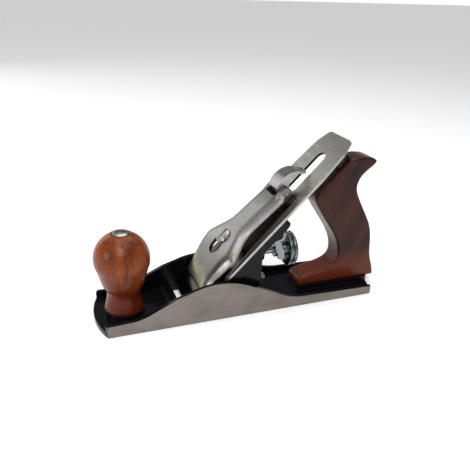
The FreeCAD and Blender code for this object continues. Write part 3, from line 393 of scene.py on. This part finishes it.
def polished_metal(name, shade, low, high):
    """Plated or polished metal with faint cloudy marks, hairlines and brighter edges, which are
    partly rubbed bright and partly a painted highlight.

    Its roughness runs from `low` to `high`.
    """
    finish = Finish(name, low, 1.0)
    clouds = finish.noise(finish.place, 75.0, 4.0, 0.6)
    hairs = finish.noise(finish.stretched((30, 30, 30)), 24.0, 3.0, 0.7)
    dull = [0.72 * part for part in shade]
    base = finish.mix(finish.grey(clouds, 0.0, 0.5, 0.45, 0.72), tuple(shade), tuple(dull))
    # painted highlight along the sharp edges, partly standing for metal rubbed bright
    bright = [min(1.0, 1.3 * part) for part in shade]
    base = finish.mix(finish.maths(finish.worn_and_highlit_edges(0.0004), 0.6, "MULTIPLY"), base, tuple(bright))
    finish.drive("Base Color", base)
    finish.drive("Roughness", finish.grey(finish.maths(clouds, hairs, "MULTIPLY"),
                                          low, high, 0.12, 0.40))
    finish.bump(hairs, 0.05, 0.0002)
    return finish.material


def ground_steel(name, shade, across):
    """Ground steel with fine lines across it, and the walls of its slot as dark as the enamel."""
    finish = Finish(name, 0.3, 1.0)
    bed = (0.0, sizes().bed_angle, 0.0)
    lines = finish.noise(finish.stretched(across, bed), 1.0, 4.0, 0.7)
    clouds = finish.noise(finish.place, 55.0, 4.0, 0.6)
    dull = [0.66 * part for part in shade]
    base = finish.mix(finish.grey(clouds, 0.0, 0.6, 0.48, 0.72), tuple(shade), tuple(dull))
    base = finish.mix(finish.grey(lines, 0.0, 0.35), base, tuple(0.8 * part for part in shade))
    place = finish.add("ShaderNodeSeparateXYZ")
    finish.join(finish.place, place.inputs["Vector"])
    # faces near the middle that stand edge-on to the bed, the walls of the slot, take the enamel's
    # dark colour
    near = finish.maths(finish.maths(place.outputs["Y"], 0.0, "ABSOLUTE"), SLOT_WALL, "LESS_THAN")
    geometry = finish.add("ShaderNodeNewGeometry")
    facing = finish.add("ShaderNodeVectorMath", operation="DOT_PRODUCT")
    finish.join(geometry.outputs["Normal"], facing.inputs[0])
    facing.inputs[1].default_value = (-math.sin(sizes().bed_angle), 0.0,
                                      math.cos(sizes().bed_angle))
    edge_on = finish.maths(finish.maths(facing.outputs["Value"], 0.0, "ABSOLUTE"), 0.5, "LESS_THAN")
    base = finish.mix(finish.maths(near, edge_on, "MULTIPLY"), base, tuple(colours().enamel))
    finish.drive("Base Color", base)
    finish.drive("Roughness", finish.maths(finish.grey(lines, 0.2, 0.34),
                                         finish.grey(clouds, 0.0, 0.07)))
    finish.bump(lines, 0.12, 0.0002)
    return finish.material


def cap_plate(name):
    """Satin plate of the lever cap, with painted reflections in bands along it: a pale straw
    reflection at the lip, a dark reflection just above it, and darker again towards its top end.
    """
    shade = colours()
    finish = Finish(name, 0.3, 1.0)
    up_bed = finish.add("ShaderNodeVectorMath", operation="DOT_PRODUCT")
    finish.join(finish.place, up_bed.inputs[0])
    up_bed.inputs[1].default_value = (math.cos(sizes().bed_angle), 0.0,
                                      math.sin(sizes().bed_angle))
    clouds = finish.noise(finish.place, 48.0, 4.0, 0.6)
    specks = finish.noise(finish.place, 420.0, 3.0, 0.7)
    waver = finish.grey(clouds, -0.006, 0.006)
    along = finish.maths(up_bed.outputs["Value"], waver)
    start = sizes().bed_start * math.cos(sizes().bed_angle)
    # painted reflections along the bed: pale straw at the lip, dark just above it, the plate's own
    # colour in the middle, darker towards the top end
    stops = [(22, shade.cap_lip_reflection), (30, shade.cap_lip_reflection), (38, shade.cap_specks_and_dark_reflection),
             (50, shade.cap_specks_and_dark_reflection), (66, shade.bright), (104, shade.bright),
             (126, shade.cap_specks_and_dark_reflection)]
    low, high = 20 * MM, 130 * MM
    share = finish.grey(along, 0.0, 1.0, start + low, start + high)
    base = finish.ramp(share, [((at * MM - low) / (high - low), tuple(tone))
                               for at, tone in stops])
    base = finish.mix(finish.grey(specks, 0.0, 0.4, 0.5, 0.68), base, tuple(shade.cap_specks_and_dark_reflection))
    # painted highlight along the sharp edges and round the openings, partly standing for plate
    # rubbed bright
    pale = [min(1.0, 1.45 * part) for part in shade.bright]
    base = finish.mix(finish.maths(finish.worn_and_highlit_edges(0.0005), 0.7, "MULTIPLY"), base, tuple(pale))
    finish.drive("Base Color", base)
    finish.drive("Roughness", finish.grey(finish.maths(clouds, specks, "MULTIPLY"),
                                          0.24, 0.40, 0.12, 0.40))
    finish.bump(specks, 0.06, 0.0002)
    return finish.material


FINISHES = {}  # each finish that has been made, by its name


def finish_for(slot):
    """The material for a slot or a named finish, made the first time it is asked for."""
    if slot not in FINISHES:
        shade = colours()
        makers = {
            "ground_iron": lambda: enamelled_iron("enamelled_and_ground_iron"),
            "black_enamel": lambda: gloss_enamel("black_enamel"),
            "black_gloss": lambda: gloss_enamel("thumb_tab_gloss", 0.15),
            # the knob darkens from about the middle of its ball down: painted shade
            "knob_wood": lambda: varnished_wood(
                "knob_wood", shade.knob_light, shade.knob_dark, shade.knob_low_shade,
                (60, 60, 11), fade=(0.026, 0.052)),
            # the handle's wood turns lighter towards its foot
            "handle_wood": lambda: varnished_wood(
                "handle_wood", shade.handle_light, shade.handle_dark, shade.handle_deep,
                (80, 60, 9), (0, GRAIN_TURN, 0), (0.018, 0.040)),
            "bright_plate": lambda: polished_metal("bright_plate", shade.bright, 0.26, 0.4),
            "cap_plate": lambda: cap_plate("cap_plate"),
            "cam_plate": lambda: polished_metal("cam_plate", shade.cam, 0.24, 0.36),
            # the cap iron's dark colour is a painted dark reflection
            "cap_iron_steel": lambda: polished_metal("cap_iron_steel", shade.cap_iron,
                                                     0.16, 0.3),
            "zinc_plate": lambda: polished_metal("zinc_plate", shade.zinc, 0.16, 0.34),
            "plain_steel": lambda: polished_metal("plain_steel", shade.steel, 0.26, 0.42),
            "blued_steel": lambda: polished_metal("dark_steel", shade.dark_steel, 0.24, 0.4),
            "blade_steel": lambda: ground_steel("blade_steel", shade.blade, (240, 45, 60)),
        }
        FINISHES[slot] = makers[slot]()
    return FINISHES[slot]


# ---- shaping pieces -------------------------------------------------------------------------

def slot_of(node):
    """The record's material slot of a CAD node."""
    return next(part["material_slot"] for part in frame["record"]["subparts"]
                if part["node"] == node)


def body_with(node):
    """The name of the body that a CAD node belongs to."""
    bodies = frame["record"]["behaviour"]["bodies"]
    return next(name for name, nodes in bodies.items() if node in nodes)


def soften(thing, width, angle):
    """Round the edges of a piece that are sharper than an angle, given in degrees."""
    rounding = thing.modifiers.new("soft_edges", "BEVEL")
    rounding.width = width
    rounding.segments = 2
    rounding.limit_method = "ANGLE"
    rounding.angle_limit = math.radians(angle)
    rounding.harden_normals = True


def dress(node, softness, finish=None):
    """Give a CAD node its finish and soften its sharp edges."""
    thing = frame["nodes"][node]
    thing.data.materials.clear()
    thing.data.materials.append(finish_for(finish or slot_of(node)))
    soften(thing, softness, 38)


def bed_matrix():
    """Takes bed coordinates, up the bed, across it and square off it, to the plane's frame."""
    size = sizes()
    turn = Matrix.Rotation(-size.bed_angle, 4, "Y")
    return Matrix.Translation((size.bed_start, 0, 0)) @ turn


def new_piece(name, mesh, nodes, material=None, smooth=True):
    """Put a finished mesh in the scene in place of one or more CAD nodes."""
    thing = bpy.data.objects.new(name, mesh)
    bpy.context.scene.collection.objects.link(thing)
    slot = slot_of(nodes[0])
    mesh.materials.append(material or finish_for(slot))
    if smooth:
        mesh.polygons.foreach_set("use_smooth", [True] * len(mesh.polygons))
    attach(thing, body_with(nodes[0]))
    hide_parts(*nodes)
    return thing


def mesh_from(name, vertices, faces):
    """A mesh with no double points and with its faces turned outwards."""
    mesh = bpy.data.meshes.new(name)
    mesh.from_pydata([tuple(v) for v in vertices], [], faces)
    mesh.validate()
    shape = bmesh.new()
    shape.from_mesh(mesh)
    bmesh.ops.remove_doubles(shape, verts=shape.verts, dist=1e-6)
    bmesh.ops.recalc_face_normals(shape, faces=shape.faces)
    shape.to_mesh(mesh)
    shape.free()
    return mesh


def smooth_curve(points, steps):
    """Points along a smooth curve through `points`, which are (a, b) pairs."""
    path = []
    count = len(points)
    for i in range(count - 1):
        before = Vector(points[max(i - 1, 0)])
        start, end = Vector(points[i]), Vector(points[i + 1])
        after = Vector(points[min(i + 2, count - 1)])
        for step in range(steps):
            t = step / steps
            path.append(0.5 * ((2 * start) + (end - before) * t
                               + (2 * before - 5 * start + 4 * end - after) * t * t
                               + (3 * start - before - 3 * end + after) * t ** 3))
    path.append(Vector(points[-1]))
    return path


def lathe(name, profile, segments=96, ripple=None):
    """Turn a closed (radius, height) profile about Z.  `ripple` alters a radius by angle."""
    vertices, faces = [], []
    count = len(profile)
    for turn in range(segments):
        angle = 2 * math.pi * turn / segments
        for index, (radius, height) in enumerate(profile):
            if ripple:
                radius = ripple(index, radius, turn)
            vertices.append((radius * math.cos(angle), radius * math.sin(angle), height))
    for turn in range(segments):
        after = (turn + 1) % segments
        for i in range(count):
            j = (i + 1) % count
            faces.append((turn * count + i, turn * count + j, after * count + j,
                          after * count + i))
    return mesh_from(name, vertices, faces)


def slab(outline, thickness, name):
    """A flat slab with the given (x, z) outline, centred on Y = 0."""
    half = thickness / 2
    count = len(outline)
    vertices = [(x, -half, z) for x, z in outline] + [(x, half, z) for x, z in outline]
    faces = [tuple(range(count)), tuple(range(2 * count - 1, count - 1, -1))]
    for i in range(count):
        j = (i + 1) % count
        faces.append((i, i + count, j + count, j))
    return mesh_from(name, vertices, faces)


def settle(thing):
    """Apply a piece's modifiers, and give back the mesh that they make."""
    graph = bpy.context.evaluated_depsgraph_get()
    mesh = bpy.data.meshes.new_from_object(thing.evaluated_get(graph))
    bpy.data.objects.remove(thing)
    return mesh


def organic(name, mesh, rounding, voxel, passes):
    """Round a slab over all its edges, the way a rasp and paper leave a wooden handle."""
    thing = bpy.data.objects.new(name + "_blank", mesh)
    bpy.context.scene.collection.objects.link(thing)
    edge = thing.modifiers.new("rounding", "BEVEL")
    edge.width = rounding
    edge.segments = 5
    edge.limit_method = "ANGLE"
    edge.angle_limit = math.radians(60)
    remesh = thing.modifiers.new("even_mesh", "REMESH")
    remesh.mode = "VOXEL"
    remesh.voxel_size = voxel
    paper = thing.modifiers.new("sanding", "SMOOTH")
    paper.factor = 0.5
    paper.iterations = passes
    return settle(thing)


def carve(thing, tool_mesh):
    """Cut one closed mesh out of a piece."""
    tool = bpy.data.objects.new("carving_tool", tool_mesh)
    bpy.context.scene.collection.objects.link(tool)
    cut = thing.modifiers.new("carving", "BOOLEAN")
    cut.operation = "DIFFERENCE"
    cut.object = tool
    cut.solver = "EXACT"
    graph = bpy.context.evaluated_depsgraph_get()
    carved = bpy.data.meshes.new_from_object(thing.evaluated_get(graph))
    thing.modifiers.clear()
    thing.data = carved
    bpy.data.objects.remove(tool)


def rod(radius, low, high, segments=64):
    """A plain closed cylinder mesh along Z, used as a cutting tool."""
    vertices, faces = [], []
    for turn in range(segments):
        angle = 2 * math.pi * turn / segments
        vertices += [(radius * math.cos(angle), radius * math.sin(angle), low),
                     (radius * math.cos(angle), radius * math.sin(angle), high)]
    faces.append([2 * turn for turn in range(segments)][::-1])
    faces.append([2 * turn + 1 for turn in range(segments)])
    for turn in range(segments):
        after = (turn + 1) % segments
        faces.append((2 * turn, 2 * after, 2 * after + 1, 2 * turn + 1))
    return mesh_from("rod", vertices, faces)


# ---- operators: one for each piece or group of like pieces -------------------------------------

class PLANE_OT_casting(bpy.types.Operator):
    """Finish the sole casting and the frog"""

    bl_idname = "plane.casting"
    bl_label = "Casting and frog"

    def execute(self, context):
        dress("sole_casting", 0.6 * MM)
        dress("frog", 0.6 * MM)
        return {"FINISHED"}


class PLANE_OT_knob(bpy.types.Operator):
    """Turn the front knob and finish its stud and nut"""

    bl_idname = "plane.knob"
    bl_label = "Front knob"

    def execute(self, context):
        size = sizes()
        low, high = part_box("front_knob")
        centre = (low[0] + high[0]) / 2
        base, top = low[2], high[2]
        ball, middle, neck = size.ball_radius, size.ball_height, size.neck_radius
        waist = [(neck + 2.4 * MM, base), (neck + 2.5 * MM, base + 2.0 * MM),
                 (neck + 1.5 * MM, base + 5.5 * MM), (neck + 0.3 * MM, base + 10.5 * MM),
                 (neck, base + 15 * MM), (neck + 1.0 * MM, base + 19 * MM),
                 (neck + 3.4 * MM, base + 23.4 * MM)]
        swell = []
        for step in range(12):
            angle = math.radians(-24 + step * (24 + 67) / 11)
            swell.append((ball * math.cos(angle), middle + ball * math.sin(angle)))
        outer = smooth_curve(waist + swell, 5)
        rim = outer[-1]
        nut = (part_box("knob_nut")[1][0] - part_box("knob_nut")[0][0]) / 2
        bore = nut + NUT_ROOM
        profile = [(STUD_BORE, base), (neck + 1.5 * MM, base)] + [tuple(p) for p in outer[1:]]
        profile += [(bore + 0.9 * MM, rim[1] + 0.9 * MM), (bore + 0.2 * MM, rim[1] + 0.75 * MM),
                    (bore, rim[1]), (bore, top - 1.4 * MM), (5 * MM, top - 1.4 * MM),
                    (5 * MM, top - 13 * MM), (STUD_BORE, top - 14 * MM)]
        mesh = lathe("front_knob_turned", profile, 96)
        mesh.transform(Matrix.Translation((centre, 0, 0)))
        piece = new_piece("front_knob_turned", mesh, ["front_knob"], finish_for("knob_wood"))
        soften(piece, 0.3 * MM, 40)
        dress("knob_stud", 0.1 * MM)
        dress("knob_nut", 0.25 * MM)
        return {"FINISHED"}


class PLANE_OT_handle(bpy.types.Operator):
    """Shape the rear handle and finish its stud and nut"""

    bl_idname = "plane.handle"
    bl_label = "Rear handle"

    def execute(self, context):
        size = sizes()
        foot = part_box("rear_handle")[0][2] / MM
        # the side view, from the heel up the back, round the horn and down the front
        back = [(136.6, foot), (134.6, 17), (132.0, 24), (130.2, 32), (129.2, 42), (127.9, 52),
                (124.7, 62), (118.8, 73), (112.6, 84), (108.5, 92.5), (107.6, 99.5),
                (110.3, 106.4), (115.4, 111.6), (120.9, 115.8)]
        horn = [(124.2, 119.2), (123.4, 121.2), (118.5, 123.2), (111, 124.2), (104, 123.8),
                (98.4, 122.2)]
        front = [(88.0, 112.6), (77, 102.2), (68.6, 94.0), (68.0, 88.4), (72.2, 80.7),
                 (82.0, 65.9), (89.4, 55.0), (94.4, 45.0), (96.6, 36.5), (96.4, 30.0),
                 (93.2, 25.2), (87.0, 22.0), (79.0, 19.8), (69.2, 17.8), (62.4, 16.2),
                 (58.8, 14.4), (57.6, 11.8), (57.4, foot)]
        outline = [tuple(MM * part for part in point)
                   for point in smooth_curve(back + horn + front, 3)]
        blank = slab(outline, size.handle_width, "handle_blank")
        mesh = organic("handle", blank, size.handle_round, HANDLE_VOXEL, 14)
        floor = foot * MM
        for vertex in mesh.vertices:
            vertex.co.z = max(vertex.co.z, floor)
            if vertex.co.z < floor + FOOT_BAND:
                flat = max(0.0, 1 - (vertex.co.z - floor) / FOOT_BAND)
                vertex.co.z -= flat * (vertex.co.z - floor)
        piece = new_piece("rear_handle_shaped", mesh, ["rear_handle"],
                          finish_for("handle_wood"))
        bpy.context.view_layer.update()
        low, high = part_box("handle_nut")
        reach = Vector(((low[0] + high[0]) / 2, 0, (low[2] + high[2]) / 2))
        lean = Matrix.Rotation(-STUD_LEAN, 4, "Y")
        tool = rod(HANDLE_NUT_BORE, -8 * MM, 30 * MM)
        tool.transform(Matrix.Translation(reach) @ lean)
        carve(piece, tool)
        dress("handle_stud", 0.1 * MM)
        dress("handle_nut", 0.25 * MM)
        return {"FINISHED"}


class PLANE_OT_iron(bpy.types.Operator):
    """Finish the cutter, the cap iron and their screw"""

    bl_idname = "plane.iron"
    bl_label = "Cutter and cap iron"

    def execute(self, context):
        dress("cutter", 0.18 * MM)
        dress("cap_iron", 0.2 * MM, "cap_iron_steel")
        dress("cap_iron_screw", 0.15 * MM)
        return {"FINISHED"}


# the lever cap along the bed: (distance up the bed, half width) and (distance, height off it)
CAP_HALF_WIDTHS = [
    (23.2, 19.0), (23.9, 21.8), (26.0, 23.6), (40.0, 26.9), (52.0, 29.7), (57.0, 30.8),
    (60.6, 31.2), (63.8, 30.2), (68.0, 27.4), (75.0, 22.8), (80.0, 19.9), (85.0, 18.2),
    (90.0, 17.7), (110.0, 17.6), (122.0, 17.6), (125.6, 17.0), (127.2, 15.4), (127.6, 13.5)]
CAP_CROWNS = [
    (23.2, 9.9), (24.5, 10.9), (30, 12.9), (38, 15.0), (46, 16.7), (54, 17.8), (62, 18.2),
    (75, 18.0), (90, 17.0), (105, 15.9), (127.6, 14.2)]


def read_off(table, along):
    """The value at a distance up the bed, on straight lines between a table's rows."""
    for (start, low), (end, high) in zip(table, table[1:]):
        if along <= end:
            return low + (high - low) * max(0.0, along - start) / (end - start)
    return table[-1][1]


class PLANE_OT_lever_cap(bpy.types.Operator):
    """Shape the arched lever cap, with its keyhole, notch and lugs"""

    bl_idname = "plane.lever_cap"
    bl_label = "Lever cap"

    def execute(self, context):
        size = sizes()
        bevel, drop = size.cap_bevel / MM, size.cap_drop / MM
        shell = size.cap_thickness / MM
        stations = [23.2, 23.6, 24.2, 25, 26.2] + [28 + 2.2 * i for i in range(45)]
        stations = [s for s in stations if s < 126.5] + [126.8, 127.3, 127.6]
        across = [-1, -0.985, -0.95, -0.9, -0.8, -0.6, -0.4, -0.2, 0,
                  0.2, 0.4, 0.6, 0.8, 0.9, 0.95, 0.985, 1]
        vertices, faces = [], []
        for layer in (0, 1):
            for along in stations:
                half = read_off(CAP_HALF_WIDTHS, along)
                crown = read_off(CAP_CROWNS, along)
                lip = min(1.0, (along - CAP_HALF_WIDTHS[0][0]) / BEVEL_GROWTH + 0.12)
                for part in across:
                    y = part * half
                    edge = max(0.0, 1 - (half - abs(y)) / bevel)
                    fall = drop * lip * edge ** 1.25 + 0.45 * (y / half) ** 2
                    top = crown - fall
                    under = max(BED_CLEAR, crown - shell - 0.75 * fall)
                    if edge >= 1.0:
                        under = top - min(1.3, max(0.5, top - BED_CLEAR))
                    height = top if layer == 0 else min(under, top - 0.5)
                    vertices.append((along * MM, y * MM, height * MM))
        rows, columns = len(stations), len(across)

        def index(layer, row, column):
            return layer * rows * columns + row * columns + column
        for row in range(rows - 1):
            for column in range(columns - 1):
                quad = [(row, column), (row + 1, column), (row + 1, column + 1),
                        (row, column + 1)]
                faces.append(tuple(index(0, *corner) for corner in quad))
                faces.append(tuple(index(1, *corner) for corner in reversed(quad)))
        for row in range(rows - 1):
            for column in (0, columns - 1):
                faces.append((index(0, row, column), index(0, row + 1, column),
                              index(1, row + 1, column), index(1, row, column)))
        for column in range(columns - 1):
            for row in (0, rows - 1):
                faces.append((index(0, row, column), index(0, row, column + 1),
                              index(1, row, column + 1), index(1, row, column)))
        mesh = mesh_from("lever_cap_shell", vertices, faces)
        piece = new_piece("lever_cap_shell", mesh, ["lever_cap"], finish_for("cap_plate"))
        self.cut_openings(piece)
        self.add_lugs(piece)
        piece.data.transform(bed_matrix())
        soften(piece, 0.28 * MM, 34)
        return {"FINISHED"}

    def cut_openings(self, piece):
        """Cut the keyhole and the notch for the cam."""
        wide, radius = KEYHOLE
        narrow, half = KEY_SLOT
        outline = []
        start = math.asin((half + 1.4) / radius)
        for step in range(33):
            angle = start + (2 * math.pi - 2 * start) * step / 32
            outline.append((wide + radius * math.cos(angle), radius * math.sin(angle)))
        for step in range(17):
            angle = -math.pi / 2 + math.pi * step / 16
            outline.append((narrow + half * math.cos(angle), half * math.sin(angle)))
        front, side, past_cap = *CAM_NOTCH, 140
        notch = [(front, -side), (past_cap, -side), (past_cap, side), (front, side)]
        for points in (outline, notch):
            flat = [(x * MM, y * MM) for x, y in points]
            tool = slab(flat, 40 * MM, "opening")
            tool.transform(Matrix.Rotation(math.radians(90), 4, "X"))
            tool.transform(Matrix.Translation((0, 0, 15 * MM)))
            carve(piece, tool)

    def add_lugs(self, piece):
        """Add the two round-ended lugs that hold the cam's pin."""
        pin_u, pin_n = CAM_PIN
        outline = [(112.0, 12.2), (122.5, 14.1), (126.0, 14.2)]
        for step in range(13):
            angle = math.radians(78 - step * 168 / 12)
            outline.append((pin_u + LUG_RADIUS * math.cos(angle),
                            pin_n + LUG_RADIUS * math.sin(angle)))
        outline += [(125.4, 4.7), (122.6, 6.2), (114.0, 11.0)]
        flat = [(x * MM, y * MM) for x, y in outline]
        shape = bmesh.new()
        shape.from_mesh(piece.data)
        offset, thickness = LUG_PLACE
        for side in (-1, 1):
            lug = slab(flat, thickness * MM, "lug")
            lug.transform(Matrix.Translation((0, side * offset * MM, 0)))
            shape.from_mesh(lug)
        shape.to_mesh(piece.data)
        shape.free()


class PLANE_OT_cap_fittings(bpy.types.Operator):
    """Finish the cam lever, its pin, the spring and the lever cap's screw"""

    bl_idname = "plane.cap_fittings"
    bl_label = "Cam, spring and cap screw"

    def execute(self, context):
        dress("cam_lever", 0.5 * MM, "cam_plate")
        dress("cam_pin", 0.2 * MM)
        dress("lever_cap_spring", 0.1 * MM)
        dress("spring_rivet", 0.15 * MM)
        dress("lever_cap_screw", 0.35 * MM)
        return {"FINISHED"}


class PLANE_OT_depth_wheel(bpy.types.Operator):
    """Turn and knurl the depth wheel"""

    bl_idname = "plane.depth_wheel"
    bl_label = "Depth wheel"

    def execute(self, context):
        size = sizes()
        low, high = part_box("depth_wheel")
        centre = (low[2] + high[2]) / 2
        bore, rim, hub = 3.06, (high[2] - low[2]) / 2 / MM, 6.5
        groove = [(hub, 2.1), (4.3, 2.3), (4.1, 2.7), (4.1, 5.1), (4.3, 5.5), (hub, 5.7)]
        profile = [(bore, 0.0), (hub - 0.6, 0.0), (hub, 0.5)] + groove
        profile += [(hub, 9.6), (hub + 0.5, 10.3), (rim - 3.4, 10.5), (rim - 1.2, 10.8)]
        first_rib = len(profile)
        profile += [(rim - 0.25, 11.2), (rim, 11.6), (rim, 12.9), (rim - 0.25, 13.3)]
        waist = len(profile)
        profile += [(rim - 2.1, 13.8), (rim - 2.1, 14.7)]
        second_rib = len(profile)
        profile += [(rim - 0.25, 15.2), (rim, 15.6), (rim, 17.0), (rim - 0.25, 17.4)]
        end_rib = len(profile)
        profile += [(rim - 1.4, 18.0), (rim - 3.6, 18.0), (rim - 4.6, 16.8), (9.2, 16.4),
                    (8.2, 16.8), (7.6, 17.5), (bore + 0.4, 17.6), (bore, 17.2)]
        profile = [(radius * MM, height * MM) for radius, height in profile]
        depth = size.rib_depth
        knurled = list(range(first_rib, waist)) + list(range(second_rib, end_rib))

        def knurl(index, radius, turn):
            return radius - depth if index in knurled and turn % 4 in (0, 3) else radius
        mesh = lathe("depth_wheel_knurled", profile, 4 * size.rib_count, knurl)
        mesh.transform(Matrix.Translation((low[0], 0, centre))
                       @ Matrix.Rotation(math.radians(90), 4, "Y"))
        new_piece("depth_wheel_knurled", mesh, ["depth_wheel"], smooth=False)
        mesh.set_sharp_from_angle(angle=math.radians(35))
        mesh.polygons.foreach_set("use_smooth", [True] * len(mesh.polygons))
        dress("adjusting_rod", 0.3 * MM)
        return {"FINISHED"}


class PLANE_OT_fittings(bpy.types.Operator):
    """Finish the yoke, the lateral lever and the frog's fasteners"""

    bl_idname = "plane.fittings"
    bl_label = "Yoke, lateral lever and fasteners"

    def execute(self, context):
        for node, softness in (("yoke_lever", 0.4), ("yoke_pin", 0.15), ("lateral_lever", 0.2),
                               ("lateral_thumb_piece", 0.8), ("lateral_pivot", 0.1),
                               ("lateral_roller", 0.15), ("frog_screws", 0.25),
                               ("frog_washers", 0.15), ("frog_adjusting_screw", 0.2),
                               ("frog_adjusting_plate", 0.15), ("frog_plate_screws", 0.15)):
            dress(node, softness * MM)
        return {"FINISHED"}


class PLANE_OT_stage(bpy.types.Operator):
    """Lay the pale floor, hang the studio lights and set the camera"""

    bl_idname = "plane.stage"
    bl_label = "Floor, lights and camera"

    def execute(self, context):
        context.scene.view_settings.view_transform = "Standard"
        self.lay_floor()
        self.light_sky()
        for light in LIGHTS:
            self.hang_light(*light)
        self.set_camera()
        return {"FINISHED"}

    def lay_floor(self):
        """Lay a plain pale floor just under the sole."""
        far = FLOOR_REACH
        mesh = mesh_from("floor", [(-far, -far, 0), (far, -far, 0), (far, far, 0), (-far, far, 0)],
                         [(0, 1, 2, 3)])
        floor = bpy.data.objects.new("floor", mesh)
        bpy.context.scene.collection.objects.link(floor)
        finish = Finish("pale_floor", 0.6)
        grain = finish.noise(finish.place, 220.0, 2.0)
        pale = tuple(colours().floor)
        finish.drive("Base Color", finish.mix(finish.grey(grain, 0.0, 0.06), pale,
                                              (0.88, 0.88, 0.88)))
        finish.shader.inputs["Emission Color"].default_value = (1, 1, 1, 1)
        finish.shader.inputs["Emission Strength"].default_value = FLOOR_GLOW
        finish.shader.inputs["Specular IOR Level"].default_value = 0.1
        mesh.materials.append(finish.material)
        floor.location.z = -0.3 * MM

    def light_sky(self):
        """Light the surroundings, dark in a broad band so that bright metal has contrast."""
        world = bpy.data.worlds.new("studio")
        world.use_nodes = True
        bpy.context.scene.world = world
        tree = world.node_tree
        place = tree.nodes.new("ShaderNodeTexCoord")
        split = tree.nodes.new("ShaderNodeSeparateXYZ")
        band = tree.nodes.new("ShaderNodeValToRGB")
        tree.links.new(place.outputs["Generated"], split.inputs["Vector"])
        tree.links.new(split.outputs["Z"], band.inputs["Fac"])
        tree.links.new(band.outputs["Color"], tree.nodes["Background"].inputs["Color"])
        fill_ramp(band.color_ramp, SKY)
        tree.nodes["Background"].inputs["Strength"].default_value = 1.0

    def hang_light(self, name, where, side, power):
        """Hang a square lamp that the camera doesn't see."""
        lamp = bpy.data.lights.new(name, "AREA")
        lamp.shape = "SQUARE"
        lamp.size = side
        lamp.energy = power
        light = bpy.data.objects.new(name, lamp)
        light.location = where
        light.visible_camera = False
        light.rotation_euler = (Vector(where) - LIGHT_AIM).to_track_quat("Z", "Y").to_euler()
        bpy.context.scene.collection.objects.link(light)

    def set_camera(self):
        """A normal lens near the toe, a little above, rolled by about two degrees."""
        azimuth, elevation, roll = (math.radians(turn) for turn in CAMERA_TURNS)
        back = Vector((math.sin(azimuth) * math.cos(elevation),
                       -math.cos(azimuth) * math.cos(elevation), math.sin(elevation)))
        lens = bpy.data.cameras.new("camera")
        lens.lens = CAMERA_LENS
        lens.clip_start = 0.01
        eye = bpy.data.objects.new("camera", lens)
        eye.matrix_world = (Matrix.Translation(CAMERA_AIM + back * CAMERA_DISTANCE * MM)
                            @ back.to_track_quat("Z", "Y").to_matrix().to_4x4()
                            @ Matrix.Rotation(roll, 4, "Z"))
        bpy.context.scene.collection.objects.link(eye)
        bpy.context.scene.camera = eye


# ---- the add-on --------------------------------------------------------------------------------

class PLANE_PT_pieces(bpy.types.Panel):
    """Lists the pieces and their sizes in the sidebar"""

    bl_label = "Smoothing plane"
    bl_space_type = "VIEW_3D"
    bl_region_type = "UI"
    bl_category = "Plane"

    def draw(self, context):
        layout = self.layout
        for operator in OPERATORS:
            layout.operator(operator.bl_idname)
        for group in (context.scene.plane_sizes, context.scene.plane_colours):
            box = layout.box()
            for name in group.__annotations__:
                box.prop(group, name)


OPERATORS = (PLANE_OT_casting, PLANE_OT_knob, PLANE_OT_handle, PLANE_OT_iron,
             PLANE_OT_lever_cap, PLANE_OT_cap_fittings, PLANE_OT_depth_wheel,
             PLANE_OT_fittings, PLANE_OT_stage)
CLASSES = (PlaneSizes, PlaneColours) + OPERATORS + (PLANE_PT_pieces,)


def register():
    for cls in CLASSES:
        bpy.utils.register_class(cls)
    bpy.types.Scene.plane_sizes = PointerProperty(type=PlaneSizes)
    bpy.types.Scene.plane_colours = PointerProperty(type=PlaneColours)


def unregister():
    del bpy.types.Scene.plane_colours
    del bpy.types.Scene.plane_sizes
    for cls in reversed(CLASSES):
        bpy.utils.unregister_class(cls)


def main():
    register()
    for operator in OPERATORS:
        group, name = operator.bl_idname.split(".")
        getattr(getattr(bpy.ops, group), name)()


if __name__ == "__main__":
    main()
